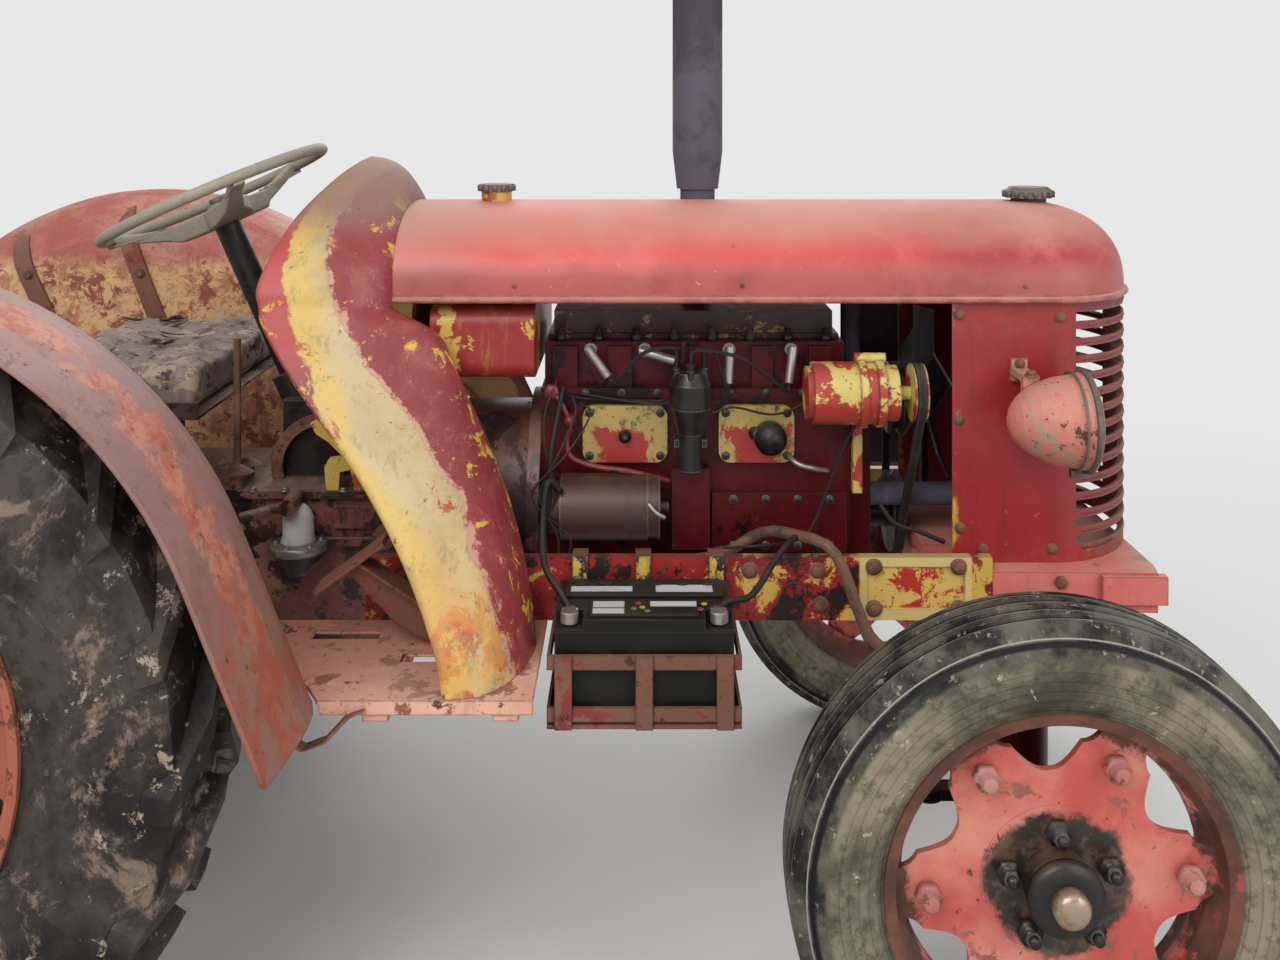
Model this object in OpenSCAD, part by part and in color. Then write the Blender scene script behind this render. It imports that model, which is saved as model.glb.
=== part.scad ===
// Old row-crop tractor with an open engine bay, full-width scuttle and D-shaped nose.
// X points forward, Y to the driver's left, Z up. The ground is at Z = 0 and the
// origin lies under the middle of the wheels' overall length.

/* [Wheels and tyres] */
// Distance between the front and the rear axle
wheelbase = 1830; // [1760:10:1900]
// Distance between the middles of the front tyres
front_track = 1320; // [1310:5:1400]
// Distance between the middles of the rear tyres
rear_track = 1380; // [1370:5:1400]
// Radius of a front tyre at its ribs
front_tyre_r = 392; // [388:1:400]
// Width of a front tyre
front_tyre_w = 162; // [150:2:168]
// Radius of a front rim at its lip
front_rim_r = 258; // [250:1:262]
// Radius of a rear tyre at the tips of its lugs
rear_tyre_r = 628; // [615:1:632]
// Width of a rear tyre
rear_tyre_w = 300; // [280:2:304]
// Height of a lug over the tyre's carcass
lug_h = 28; // [20:1:34]
// Width of a lug across its tip
lug_w = 34; // [26:1:42]
// Number of lugs on each side of a rear tyre
lug_count = 19; // [16:1:22]
// Radius of a rear rim at its lip
rear_rim_r = 380; // [370:1:386]
// Thickness of a rim's steel
rim_wall = 6; // [4:0.5:8]
// Number of lobes and clamp studs on a front wheel
front_lobes = 6; // [5:1:7]

/* [Front axle and steering] */
// Distance between the two kingpins
kingpin_gap = 1040; // [1020:5:1060]
// Radius of a kingpin
kingpin_r = 20; // [16:1:22]
// Radius of a stub axle
stub_r = 22; // [18:1:24]
// Running clearance between a turning piece and what carries it
run_gap = 0.5; // [0.3:0.1:0.8]
// Length of the steering and track arms
arm_len = 150; // [140:5:160]
// Radius of the bent drag link
drag_link_r = 10; // [8:0.5:12]
// Radius of the track rod
track_rod_r = 13; // [10:0.5:16]
// Length of the drop arm between its two centres
drop_arm_len = 170; // [160:5:180]
// Steepness of the steering column, from upright
column_tilt = 24; // [20:1:28]
// Radius of the steering wheel, to the middle of its rim
wheel_r = 227; // [200:1:235]
// Radius of the steering wheel's rim
wheel_rim_r = 11; // [8:0.5:13]

/* [Frame and engine] */
// Half the width over the two side rails
rail_y = 290; // [285:1:295]
// Thickness of a side rail
rail_t = 22; // [16:1:24]
// Height of a side rail
rail_h = 111; // [100:1:120]
// Height of the rails' lower edge over the ground
rail_z = 611; // [605:1:620]
// Length of the engine block
engine_len = 580; // [560:5:600]
// Half the width of the engine block
engine_y = 152; // [145:1:158]
// Diameter of the starter motor
starter_d = 118; // [100:2:120]
// Diameter of the dynamo
dynamo_d = 112; // [100:2:120]
// Diameter of the exhaust silencer
silencer_d = 104; // [90:2:112]
// Height of the exhaust's end over the ground
stack_top = 1990; // [1900:10:2050]

/* [Sheet metal] */
// Thickness of the bonnet, the scuttle and the mudguards
sheet_t = 4; // [3:0.5:6]
// Half the width of the bonnet
bonnet_y = 252; // [248:1:256]
// Height of the bonnet's crown over its lower edge
bonnet_h = 155; // [150:1:165]
// Height of the bonnet's lower edge over the ground
bonnet_z = 1178; // [1174:1:1182]
// Number of cooling slots on each side of the nose
slot_count = 14; // [10:1:14]
// Height of a cooling slot
slot_h = 17; // [12:1:20]
// Distance between the middles of two cooling slots
slot_pitch = 31; // [28:1:32]
// Inner radius of a mudguard's outer edge, about the rear axle
guard_r = 661; // [656:1:670]
// Distance of a mudguard's outer edge from the middle of the tractor
guard_y = 850; // [845:1:855]
// Distance of a mudguard's flat panel from the middle of the tractor
panel_y = 500; // [490:1:505]

/* [Fittings] */
// Length of the battery
battery_len = 290; // [260:2:292]
// Width of the battery
battery_w = 172; // [160:2:176]
// Height of the battery's case
battery_h = 165; // [150:2:176]
// Radius of a headlamp at its rim
lamp_r = 82; // [74:1:88]
// Bore of the hole in the drawbar for a hitch pin
hitch_pin_r = 14; // [10:1:16]
// Radius of the power take-off shaft
pto_r = 17.3; // [14:0.1:19]

/* [Hidden] */
$fn = 48;
eps = 0.01;
seat_gap = 0.3;

// Where the axles are
front_x = (wheelbase + rear_tyre_r - front_tyre_r) / 2;
rear_x = front_x - wheelbase;
front_z = front_tyre_r;
rear_z = rear_tyre_r;
front_y = front_track / 2;
rear_y = rear_track / 2;
kingpin_y = kingpin_gap / 2;
rail_top = rail_z + rail_h;
rail_in = rail_y - rail_t;

// The engine's block, head and sump
engine_x = 240;
block_z = 640;
block_top = 990;
head_top = 1075;
sump_z = 572;
flywheel_x = 236;
crank_z = 715;
fan_z = 940;
dynamo_y = -228;
dynamo_z = 1000;
crank_pulley_r = 78;
fan_pulley_r = 70;
dynamo_pulley_r = 52;

// The nose and the front casting below it
nose_x = 1175;
nose_a = 195;
nose_b = 245;
nose_z = 697.3;
nose_top = bonnet_z + 2;
panel_x = 990;
bonnet_back = -20;
stack_x = 546;
stack_y = 118;
fuel_cap_x = 140;
radiator_cap_x = 1201;
casting_z = 627;
casting_top = 697;
pivot_z = 512;

// The steering wheel, the column and the linkage
wheel_x = -423;
wheel_z = 1344;
box_top = 948;
drop_x = -40;
drop_z = 905;
drop_y = 196;
drop_t = 12;
link_y = 216;
arm_z = 590;
arm_t = 16;
track_arm_z = 424;
track_arm_t = 18;

// The gearbox, the rear axle and the footplates
gear_y = 150;
gear_top = 800;
plate_z = 612;
plate_y = 600;
seat_back = -720;
seat_front = -350;
seat_top = 1066;

// Small helpers

function mix(a, b, t) = a + (b - a) * t;
function unit(v) = v / norm(v);
function flat(rows) = [for (row = rows) for (p = row) p];

// A box from its lowest to its highest corner
module block(low, high) {
    translate(low) cube(high - low);
}

// A rod of radius r between two points
module rod(a, b, r) {
    d = b - a;
    translate(a)
        rotate([0, acos(d[2] / norm(d)), atan2(d[1], d[0])])
            cylinder(r = r, h = norm(d));
}

// Discs and rods along the Y axis, from y0 to y1
module disc_y(x, z, r, y0, y1) {
    translate([x, y1, z]) rotate([90, 0, 0]) cylinder(r = r, h = y1 - y0);
}

// Discs and rods along the X axis, from x0 to x1
module disc_x(y, z, r, x0, x1) {
    translate([x0, y, z]) rotate([0, 90, 0]) cylinder(r = r, h = x1 - x0);
}

// A copy on each side of the tractor
module both_sides() {
    children();
    mirror([0, 1, 0]) children();
}

// The points of a round pipe's rings along a path, with its ends square
function pipe_ring(path, i, r, n, ref) =
    let (a = path[max(i - 1, 0)], b = path[min(i + 1, len(path) - 1)],
         t = unit(b - a),
         side = unit(cross(t, ref)),
         up = cross(side, t))
    [for (k = [0 : n - 1]) path[i] + r * (side * cos(360 * k / n) + up * sin(360 * k / n))];

// A closed pipe of radius r with n sides along a path that never runs along ref
module pipe(path, r, n = 8, ref = [0, 1, 0]) {
    rings = len(path);
    sides = [for (i = [0 : rings - 2], k = [0 : n - 1])
        [i * n + k, i * n + (k + 1) % n, (i + 1) * n + (k + 1) % n, (i + 1) * n + k]];
    start = [for (k = [n - 1 : -1 : 0]) k];
    finish = [for (k = [0 : n - 1]) (rings - 1) * n + k];
    polyhedron(flat([for (i = [0 : rings - 1]) pipe_ring(path, i, r, n, ref)]),
        concat(sides, [start, finish]), convexity = 6);
}

// A path with its corners rounded: each corner is cut back by the share s
function rounded(path, s = 0.3) = concat([path[0]],
    [for (i = [1 : len(path) - 2], t = [-1, -0.33, 0.33, 1])
        let (p = path[i], a = mix(p, path[i - 1], s), b = mix(p, path[i + 1], s), u = (t + 1) / 2)
        (1 - u) * (1 - u) * a + 2 * u * (1 - u) * p + u * u * b],
    [path[len(path) - 1]]);

// The unit normal of a grid of points at row i and column j
function grid_normal(g, i, j) =
    let (di = g[min(i + 1, len(g) - 1)][j] - g[max(i - 1, 0)][j],
         dj = g[i][min(j + 1, len(g[0]) - 1)] - g[i][max(j - 1, 0)])
    unit(cross(di, dj));

// A sheet between an outer and an inner grid of points, closed along its four edges
module sheet(outer, inner) {
    rows = len(outer);
    cols = len(outer[0]);
    half = rows * cols;
    face_out = [for (i = [0 : rows - 2], j = [0 : cols - 2])
        [i * cols + j, (i + 1) * cols + j, (i + 1) * cols + j + 1, i * cols + j + 1]];
    face_in = [for (f = face_out) [f[3] + half, f[2] + half, f[1] + half, f[0] + half]];
    rim = concat([for (j = [0 : cols - 1]) j],
        [for (i = [1 : rows - 1]) i * cols + cols - 1],
        [for (j = [cols - 2 : -1 : 0]) (rows - 1) * cols + j],
        [for (i = [rows - 2 : -1 : 1]) i * cols]);
    edge = [for (k = [0 : len(rim) - 1]) let (a = rim[k], b = rim[(k + 1) % len(rim)])
        [a, b, b + half, a + half]];
    tri = [for (f = concat(face_out, face_in, edge), h = [0, 1])
        h == 0 ? [f[0], f[1], f[2]] : [f[0], f[2], f[3]]];
    polyhedron(concat(flat(outer), flat(inner)), tri, convexity = 10);
}

// Frame

// The two cast rails, with a framed panel, bolt bosses and feet to the clutch housing
module side_rails() {
    frame_x = [818, 1012];
    color("firebrick") both_sides() {
        difference() {
            block([-60, -rail_y, rail_z], [panel_x + 60, -rail_in, rail_top]);
            block([frame_x[0] + 10, -rail_y - eps, rail_z + 18],
                [frame_x[1] - 10, -rail_y + 5, rail_top - 16]);
        }
        for (x = [-40, 30, 700])
            disc_y(x, rail_z + rail_h / 2, 14, -rail_y - 8, -rail_y + 1);
        block([20, -rail_in - 1, rail_z], [52, -gear_y - 40, rail_z + 36]);
        block([frame_x[0] - 90, -rail_in - 1, rail_z + 6],
            [frame_x[0] - 60, -engine_y - 14 - seat_gap, rail_z + 40]);
    }
}

// The bowed box casting that carries the radiator, the nose and the front axle
module front_casting() {
    color("firebrick") {
        difference() {
            translate([0, 0, casting_z]) linear_extrude(casting_top - casting_z) casting_plan();
            translate([0, 0, casting_z - eps]) linear_extrude(casting_top - casting_z - 14)
                offset_plan();
        }
        axle_hangers();
        block([front_x - 78, -150, casting_top - 22], [panel_x + 62, 150, casting_top]);
        block([nose_x + 65, -rail_y - 16, casting_z + 16], [nose_x + 180, -rail_y + 2, casting_top - 4]);
    }
}

// The plan of the front casting
module casting_plan() {
    bow = 1400;
    intersection() {
        polygon([[panel_x + 60 + seat_gap, -rail_y], [1348, -rail_y - 8], [1348, rail_y + 8],
            [panel_x + 60 + seat_gap, rail_y]]);
        translate([1372 - bow, 0]) circle(r = bow, $fn = 180);
    }
}

// The hollow below the front casting
module offset_plan() {
    polygon([[panel_x + 90, -rail_y + 26], [1318, -rail_y + 20], [1318, rail_y - 20],
        [panel_x + 90, rail_y - 26]]);
}

// The two hangers of the front axle's pivot, below the casting
module axle_hangers() {
    for (x = [-1, 1]) difference() {
        union() {
            block([front_x + x * 62 - 12, -44, pivot_z], [front_x + x * 62 + 12, 44, casting_top - 13]);
            disc_x(0, pivot_z, 44, front_x + x * 62 - 12, front_x + x * 62 + 12);
        }
        disc_x(0, pivot_z, 18, front_x + x * 62 - 13, front_x + x * 62 + 13);
    }
}

// Front axle

// The beam, swinging on a pin along X, with a kingpin boss at each end
module front_axle() {
    boss_r = kingpin_r + 20;
    boss_z = [450, arm_z - seat_gap];
    color("firebrick") {
        difference() {
            union() {
                both_sides() {
                    translate([front_x, 0, 0]) rotate([90, 0, 0]) translate([0, 0, -eps])
                        linear_extrude(kingpin_y) axle_section();
                    translate([front_x, -kingpin_y, boss_z[0]])
                        cylinder(r = boss_r, h = boss_z[1] - boss_z[0]);
                }
                disc_x(0, pivot_z, 38, front_x - 50 + seat_gap, front_x + 50 - seat_gap);
            }
            for (y = [-1, 1])
                translate([front_x, y * kingpin_y, boss_z[0] - 1])
                    cylinder(r = kingpin_r + run_gap, h = boss_z[1] - boss_z[0] + 2);
            disc_x(0, pivot_z, 18, front_x - 60, front_x + 60);
        }
        disc_x(0, pivot_z, 18 - seat_gap, front_x - 82, front_x + 82);
    }
}

// The I-shaped section of the axle beam
module axle_section() {
    polygon([[-35, 456], [35, 456], [35, 472], [10, 480], [10, 521], [35, 529],
        [35, 545], [-35, 545], [-35, 529], [-10, 521], [-10, 480], [-35, 472]]);
}

// A kingpin with its stub axle, steering arm and track arm, made for the left side
module knuckle(with_steering_arm) {
    y = kingpin_y;
    color("dimgray") {
        translate([front_x, y, 360]) cylinder(r = kingpin_r, h = arm_z + arm_t - 360);
        translate([front_x, y, 346]) cylinder(r = 42, h = 92);
        translate([front_x, y, arm_z]) cylinder(r = 34, h = arm_t);
        disc_y(front_x, front_z, stub_r, y, front_y + 87);
        disc_y(front_x, front_z, 44, y + 30, y + 58);
        block([front_x - arm_len, y - 16, track_arm_z], [front_x, y + 16, track_arm_z + track_arm_t]);
        translate([front_x - arm_len, y, track_arm_z]) cylinder(r = 24, h = track_arm_t);
        if (with_steering_arm) {
            block([front_x - 17, y - arm_len, arm_z], [front_x + 17, y, arm_z + arm_t]);
            translate([front_x, y - arm_len, arm_z]) cylinder(r = 24, h = arm_t);
        }
    }
}

module knuckle_left() {
    knuckle(false);
}

module knuckle_right() {
    mirror([0, 1, 0]) knuckle(true);
}

// The rod between the two track arms, with an upright socket at each end
module track_rod() {
    x = front_x - arm_len;
    z = track_arm_z + track_arm_t + seat_gap;
    color("dimgray") {
        disc_y(x, z + 20, track_rod_r, -kingpin_y, kingpin_y);
        both_sides() {
            translate([x, kingpin_y, z]) cylinder(r = 21, h = 40);
            disc_y(x, z + 20, track_rod_r + 4, kingpin_y - 90, kingpin_y - 15);
        }
    }
}

// The bent rod from the drop arm, over the rail and down to the steering arm
module drag_link() {
    end_y = kingpin_y - arm_len;
    ball_z = drop_z - drop_arm_len;
    socket_h = 38;
    over_z = rail_top + 35;
    path = rounded([[drop_x, -link_y, ball_z], [200, -link_y, 690], [560, -link_y, 690],
        [655, -link_y - 8, over_z - 4], [765, -rail_y - 38, over_z + 2], [818, -rail_y - 52, 606],
        [868, -end_y + 18, arm_z - 22], [front_x, -end_y, arm_z - 22]], 0.3);
    color("saddlebrown") {
        pipe(path, drag_link_r, 12);
        translate([front_x, -end_y, arm_z - seat_gap - socket_h]) cylinder(r = 20, h = socket_h);
        disc_y(drop_x, ball_z, 20, -link_y - 16, -drop_y - seat_gap);
    }
}

// The steering box's arm, hanging from the cross shaft
module drop_arm() {
    y = -drop_y;
    z0 = drop_z - drop_arm_len;
    color("dimgray") {
        disc_y(drop_x, drop_z, 30, y, y + drop_t);
        disc_y(drop_x, z0, 22, y, y + drop_t);
        block([drop_x - 18, y, z0], [drop_x + 18, y + drop_t, drop_z]);
    }
}

// The steering box on the gearbox, its cross shaft and the column
module steering_column() {
    s = sin(column_tilt);
    c = cos(column_tilt);
    top = [wheel_x, 0, wheel_z] - (58 + seat_gap) * [-s, 0, c];
    foot = [wheel_x, 0, wheel_z] - 440 * [-s, 0, c];
    color("dimgray") {
        block([-270, -62, gear_top + seat_gap], [-150, 62, box_top]);
        block([-151, -48, gear_top + seat_gap], [4 - seat_gap, 48, box_top - 6]);
        disc_y(drop_x, drop_z, 26, -drop_y + drop_t + seat_gap, 0);
        rod(foot, top, 26);
        rod(foot, foot + 60 * [-s, 0, c], 42);
    }
}

// The steering wheel: rim, dished hub and flat riveted spokes
module steering_wheel() {
    translate([wheel_x, 0, wheel_z]) rotate([0, -column_tilt, 0]) color("darkkhaki") {
        rotate_extrude($fn = 64) translate([wheel_r, 0]) circle(r = wheel_rim_r, $fn = 16);
        translate([0, 0, -58]) cylinder(r = 34, h = 30);
        translate([0, 0, -29]) cylinder(r = 24, h = 12);
        for (a = [0 : 120 : 240]) rotate([0, 0, a + 60])
            rotate([0, -7, 0]) translate([0, 0, -44]) linear_extrude(7)
                polygon([[20, -24], [wheel_r + 2, -11], [wheel_r + 2, 11], [20, 24]]);
    }
}

// Engine

// The block, head and sump, with the flanges and ribs that show
module engine_block() {
    x0 = engine_x;
    x1 = engine_x + engine_len;
    color("maroon") {
        block([x0, -engine_y, block_z + 100], [x1, engine_y, block_top]);
        block([x0, -engine_y + 12, block_z], [x1, engine_y - 12, block_z + 101]);
        block([x0, -engine_y - 14, block_z - 2], [x1, engine_y + 14, block_z + 14]);
        block([x0 + 30, -engine_y + 30, sump_z], [x1 - 20, engine_y - 30, block_z]);
        block([x0 + 6, -engine_y + 22, block_top], [x1 - 8, engine_y - 22, head_top]);
        block([x0, -engine_y - 4, block_top - 16], [x1, -engine_y + 4, block_top + 2]);
        block([x1 - 1, -110, block_z + 20], [x1 + 46, 110, block_top - 30]);
        for (x = [[262, 308], [366, 410], [484, 540], [636, 676], [744, 786]])
            block([x[0], -engine_y + 6, block_top + 1], [x[1], -engine_y + 26, head_top - 6]);
        block([x0 + 245, -engine_y - 34, 700], [x0 + 315, -engine_y + 4, 850]);
        block([x0 + 320, -engine_y - 16, 690], [x1 - 8, -engine_y + 4, 800]);
    }
}

// The two pressed side covers and the rocker cover
module engine_covers() {
    color("khaki") for (x = [[319, 477], [573, 714]])
        translate([0, -engine_y - seat_gap, 0]) rotate([90, 0, 0]) linear_extrude(14)
            round_rect(x[0], x[1], 856, 962, 22);
    color("maroon") {
        block([engine_x + 20, -78, head_top + seat_gap], [engine_x + engine_len - 22, 78, head_top + 50]);
        block([engine_x + 10, -90, head_top + seat_gap], [engine_x + engine_len - 12, 90, head_top + 8]);
    }
}

// A rectangle with round corners, from (x0, z0) to (x1, z1)
module round_rect(x0, x1, z0, z1, r) {
    for (x = [x0 + r, x1 - r], z = [z0 + r, z1 - r]) translate([x, z]) circle(r = r);
    translate([x0 + r, z0]) square([x1 - x0 - 2 * r, z1 - z0]);
    translate([x0, z0 + r]) square([x1 - x0, z1 - z0 - 2 * r]);
}

// The starter motor, lying along the block on the near side
module starter_motor() {
    y = -engine_y - starter_d / 2 - seat_gap;
    z = 788;
    color("saddlebrown") {
        disc_x(y, z, starter_d / 2, 282, 440);
        disc_x(y, z, starter_d / 2 - 3, 440, 462);
        disc_x(y, z, starter_d / 2 - 12, flywheel_x + 26, 282);
        disc_x(y, z, 9, 462, 478);
        disc_x(y + 22, z - 26, 6, 462, 472);
    }
}

// The dynamo with its clamp bands, drive pulley and adjusting bracket
module dynamo() {
    y = dynamo_y;
    z = dynamo_z;
    r = dynamo_d / 2;
    color("khaki") {
        disc_x(y, z, r, 738, 862);
        disc_x(y, z, r - 8, 727, 738);
    }
    color("firebrick") {
        for (x = [820, 852]) disc_x(y, z, r + 5, x, x + 14);
        disc_x(y, z, r - 6, 866, 892);
        disc_x(y, z, 12, 892, 942);
        block([822, -engine_y - 20, 800], [840, -engine_y - seat_gap, z - r + 40]);
        block([822, y, z - r - 8], [840, -engine_y - seat_gap, z - r + 4]);
        disc_x(y, z + r + 8, 9, 815, 872);
    }
    color("dimgray") pulley(y, z, dynamo_pulley_r, 930);
}

// A V-belt pulley of radius r on the plane x
module pulley(y, z, r, x) {
    translate([x, y, z]) rotate([0, 90, 0]) rotate_extrude()
        polygon([[0, -12], [r, -12], [r, -9], [r - 10, -7.5], [r - 10, 7.5], [r, 9], [r, 12], [0, 12]]);
}

// The distributor and its drive column on the near side
module distributor() {
    y = -engine_y - 42;
    x = 519;
    color("black") {
        translate([x, y, 965]) cylinder(r = 38, h = 44);
        translate([x, y, 1009]) cylinder(r1 = 38, r2 = 26, h = 22);
        translate([x, y, 1031]) cylinder(r = 10, h = 14);
        for (a = [0 : 90 : 270]) rotate_about([x, y, 0], a)
            translate([x + 26, y, 1012]) cylinder(r = 7, h = 26);
    }
    color("dimgray") {
        translate([x, y, 918]) cylinder(r1 = 24, r2 = 36, h = 48);
        translate([x, y, 850 + seat_gap]) cylinder(r = 22, h = 70);
        block([x - 30, y - 6, 893], [x + 30, -engine_y - seat_gap, 907]);
    }
}

// Children turned by a about an upright line through c
module rotate_about(c, a) {
    translate(c) rotate([0, 0, a]) translate(-c) children();
}

// Spark plugs. Columns: place along X, and the cap's run along X and Z.
plugs = [[333, 34, -44], [435, 56, -14], [594, -4, -56], [711, -8, -55]];
plug_z = 1062;

// Where a plug's cap starts and ends
function cap_start(p) = [p[0], -engine_y - 14, plug_z];
function cap_end(p) = cap_start(p) + [p[1], -12, p[2]];

// Four spark plugs, each with a stiff cap
module spark_plugs() {
    color("whitesmoke") for (p = plugs) {
        disc_y(p[0], plug_z, 12, -engine_y + 12, -engine_y + 22 - seat_gap);
        disc_y(p[0], plug_z, 8, -engine_y - 18, -engine_y + 13);
        rod(cap_start(p) - 0.16 * (cap_end(p) - cap_start(p)), cap_end(p), 8.5);
    }
}

// Leads from the distributor to the plugs, and the lead along the block
module wiring() {
    cap = [519, -engine_y - 42, 1038 + seat_gap];
    color("black") for (i = [0 : 3]) {
        a = [180, 90, 0, 270][i];
        p = plugs[i];
        start = cap + [26 * cos(a), 26 * sin(a), 0];
        d = unit(cap_end(p) - cap_start(p));
        goal = cap_end(p) + seat_gap * d;
        pipe(rounded([start, start + [0, 0, 40], mix(start, goal, 0.5) + [0, -26, 44],
            goal + 16 * d + [0, -8, 0], goal + 9 * d, goal], 0.3), 3.5, 6);
    }
    color("firebrick") pipe(rounded([[282, -engine_y - 7.4, 985], [300, -engine_y - 7.4, 975],
        [460, -engine_y - 7.4, 968], [474, -engine_y - 7.4, 972]], 0.3), 3, 6);
}

// Fan, water pump and crankshaft pulley
module fan_drive() {
    x1 = engine_x + engine_len;
    color("dimgray") {
        disc_x(0, fan_z, 46, x1 + 46 + seat_gap, 930);
        pulley(0, fan_z, fan_pulley_r, 930);
        disc_x(0, fan_z, 24, 940, 1020);
        for (a = [0 : 60 : 300]) translate([1005, 0, fan_z]) rotate([a, 0, 0])
            translate([0, -34, 14]) rotate([0, 0, 24]) cube([4, 68, 166]);
        disc_x(0, crank_z, 30, x1 + 46 + seat_gap, 946);
        pulley(0, crank_z, crank_pulley_r, 930);
    }
}

// The belt round the three pulleys
module fan_belt() {
    color("black") translate([923, 0, 0]) rotate([90, 0, 90]) linear_extrude(14)
        difference() {
            belt_plan(1);
            belt_plan(-10 + seat_gap);
        }
}

// The belt's outline, grown by d from the three pulleys
module belt_plan(d) {
    hull() {
        translate([0, fan_z]) circle(r = fan_pulley_r + d);
        translate([0, crank_z]) circle(r = crank_pulley_r + d);
        translate([dynamo_y, dynamo_z]) circle(r = dynamo_pulley_r + d);
    }
}

// The radiator: core, tanks, side plates and hoses
module radiator() {
    x0 = 1105;
    x1 = 1195;
    color("black") {
        block([x0, -200, 745], [x1, 200, 1120]);
        block([x0 - 10, -212, casting_top + seat_gap], [x1 + 10, 212, 748]);
        block([x0 - 10, -212, 1118], [x1 + 10, 212, 1200]);
        block([x1, -70, 1156], [radiator_cap_x + 36, 70, 1200]);
        translate([radiator_cap_x, 0, 1199]) cylinder(r = 34, h = 140);
        disc_x(0, 1166, 18, 846, x0 - 8);
        disc_x(-90, 776, 22, engine_x + engine_len + 46 + seat_gap, x0 + 4);
        translate([846, 0, block_top - 30 + seat_gap]) cylinder(r = 20, h = 226);
    }
}

// The exhaust and inlet manifold, carburettor and air pipe on the far side
module manifold() {
    y = engine_y - 22 + seat_gap;
    color("saddlebrown") {
        disc_x(y + 62, 1040, 28, 290, 770);
        for (x = [310, 450, 590, 730]) disc_y(x, 1036, 22, y, y + 62);
        translate([stack_x, y + 62, 1040]) cylinder(r = 30, h = 62);
    }
    color("dimgray") {
        disc_x(y + 66, 975, 22, 380, 700);
        for (x = [400, 680]) disc_y(x, 1004, 11, y, y + 66);
        translate([500, y + 66, 850]) cylinder(r = 34, h = 110);
        translate([500, y + 66, 820]) cylinder(r = 26, h = 32);
    }
}

// The upright silencer and its pipe, through the bonnet
module exhaust_stack() {
    y = stack_y;
    x = stack_x;
    foot = engine_y - 22 + seat_gap + 62;
    color("dimgray") {
        translate([x, y, 1428]) cylinder(r = silencer_d / 2, h = stack_top - 1428);
        translate([x, y, 1350]) cylinder(r1 = 43, r2 = silencer_d / 2, h = 78);
        translate([x, y, 1230]) cylinder(r = 36, h = 121);
        pipe(rounded([[x, foot, 1102.3], [x, foot, 1160], [x, y, 1210], [x, y, 1245]], 0.4), 30, 16, [1, 0, 0]);
    }
}

// The fuel tank below the bonnet's rear
module fuel_tank() {
    color("firebrick") translate([44, 0, 0]) rotate([90, 0, 90]) linear_extrude(190)
        tank_section();
    color("dimgray") translate([fuel_cap_x, 0, 1200]) cylinder(r = 30, h = 152);
}

// The tank's section, across the tractor
module tank_section() {
    hw = 232;
    round_rect(-hw, hw, 1023, 1156, 34);
    translate([-120, 1150]) square([240, 90]);
}

// Bonnet and nose

arch_n = 2.4;

// A point of the bonnet's skin. The station is a distance behind the nose's centre, or if
// it is above zero an angle round the nose; s is the angle across the arch, out a distance
// outwards and drop a distance down.
function arch_point(station, s, out = 0, drop = 0) =
    let (a = max(station, 0), k = cos(a), u = sin(a),
         c = sign(cos(s)) * pow(abs(cos(s)), 2 / arch_n),
         q = pow(u * u + pow(k * c, 2), arch_n / 2))
    [nose_x + min(station, 0) + (nose_a + out) * u, (bonnet_y + out) * k * c,
     bonnet_z - drop + (bonnet_h + out) * pow(max(0, 1 - q), 1 / arch_n)];

bonnet_stations = concat([bonnet_back - nose_x, 140 - nose_x, 546 - nose_x, -275],
    [0, 12, 24, 36, 48, 58, 67, 75, 82, 87]);
// The bead along the lower edge. Columns: distance outwards and distance down.
bead = [[0, 12], [6, 9], [6, 3]];
arch_columns = concat([for (p = bead) [0, p[0], p[1]]], [for (k = [0 : 18]) [k * 10, 0, 0]],
    [for (k = [2 : -1 : 0]) [180, bead[k][0], bead[k][1]]]);

// The bonnet, with its bead and the holes for the exhaust and the two fillers
module bonnet() {
    outer = [for (x = bonnet_stations) [for (c = arch_columns) arch_point(x, c[0], c[1], c[2])]];
    inner = [for (x = bonnet_stations) [for (c = arch_columns) arch_point(x, c[0], -sheet_t, c[2])]];
    color("crimson") difference() {
        bonnet_shell(outer, inner);
        translate([stack_x, stack_y, bonnet_z]) cylinder(r = silencer_d / 2 + 8, h = 200);
        translate([fuel_cap_x, 0, bonnet_z]) cylinder(r = 30 + run_gap, h = 200);
        translate([radiator_cap_x, 0, bonnet_z]) cylinder(r = 34 + run_gap, h = 200);
    }
}

// A shell between two grids whose last rows close the nose
module bonnet_shell(outer, inner) {
    rows = len(outer);
    cols = len(outer[0]);
    half = rows * cols;
    last = (rows - 1) * cols;
    middle = (cols - 1) / 2;
    skin = [for (i = [0 : rows - 2], j = [0 : cols - 2], h = [0, 1])
        let (a = i * cols + j, b = a + cols)
        h == 0 ? [a, b, b + 1] : [a, b + 1, a + 1]];
    under = [for (f = skin) [f[2] + half, f[1] + half, f[0] + half]];
    back = [for (j = [0 : cols - 2]) [j + 1, j + 1 + half, j + half, j]];
    left = [for (i = [0 : rows - 2]) let (a = i * cols) [a, a + half, a + cols + half, a + cols]];
    right = [for (i = [0 : rows - 2]) let (a = i * cols + cols - 1)
        [a + cols, a + cols + half, a + half, a]];
    tip = concat([for (j = [0 : middle - 2]) [cols - 1 - j, cols - 2 - j, j + 1, j]],
        [[middle + 1, middle, middle - 1]]);
    tip_out = [for (f = tip) [for (v = f) v + last]];
    tip_in = [for (f = tip) [for (k = [len(f) - 1 : -1 : 0]) f[k] + last + half]];
    front = [[last, last + half, last + cols - 1 + half, last + cols - 1]];
    polyhedron(concat(flat(outer), flat(inner)),
        concat(skin, under, back, left, right, tip_out, tip_in, front), convexity = 10);
}

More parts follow.
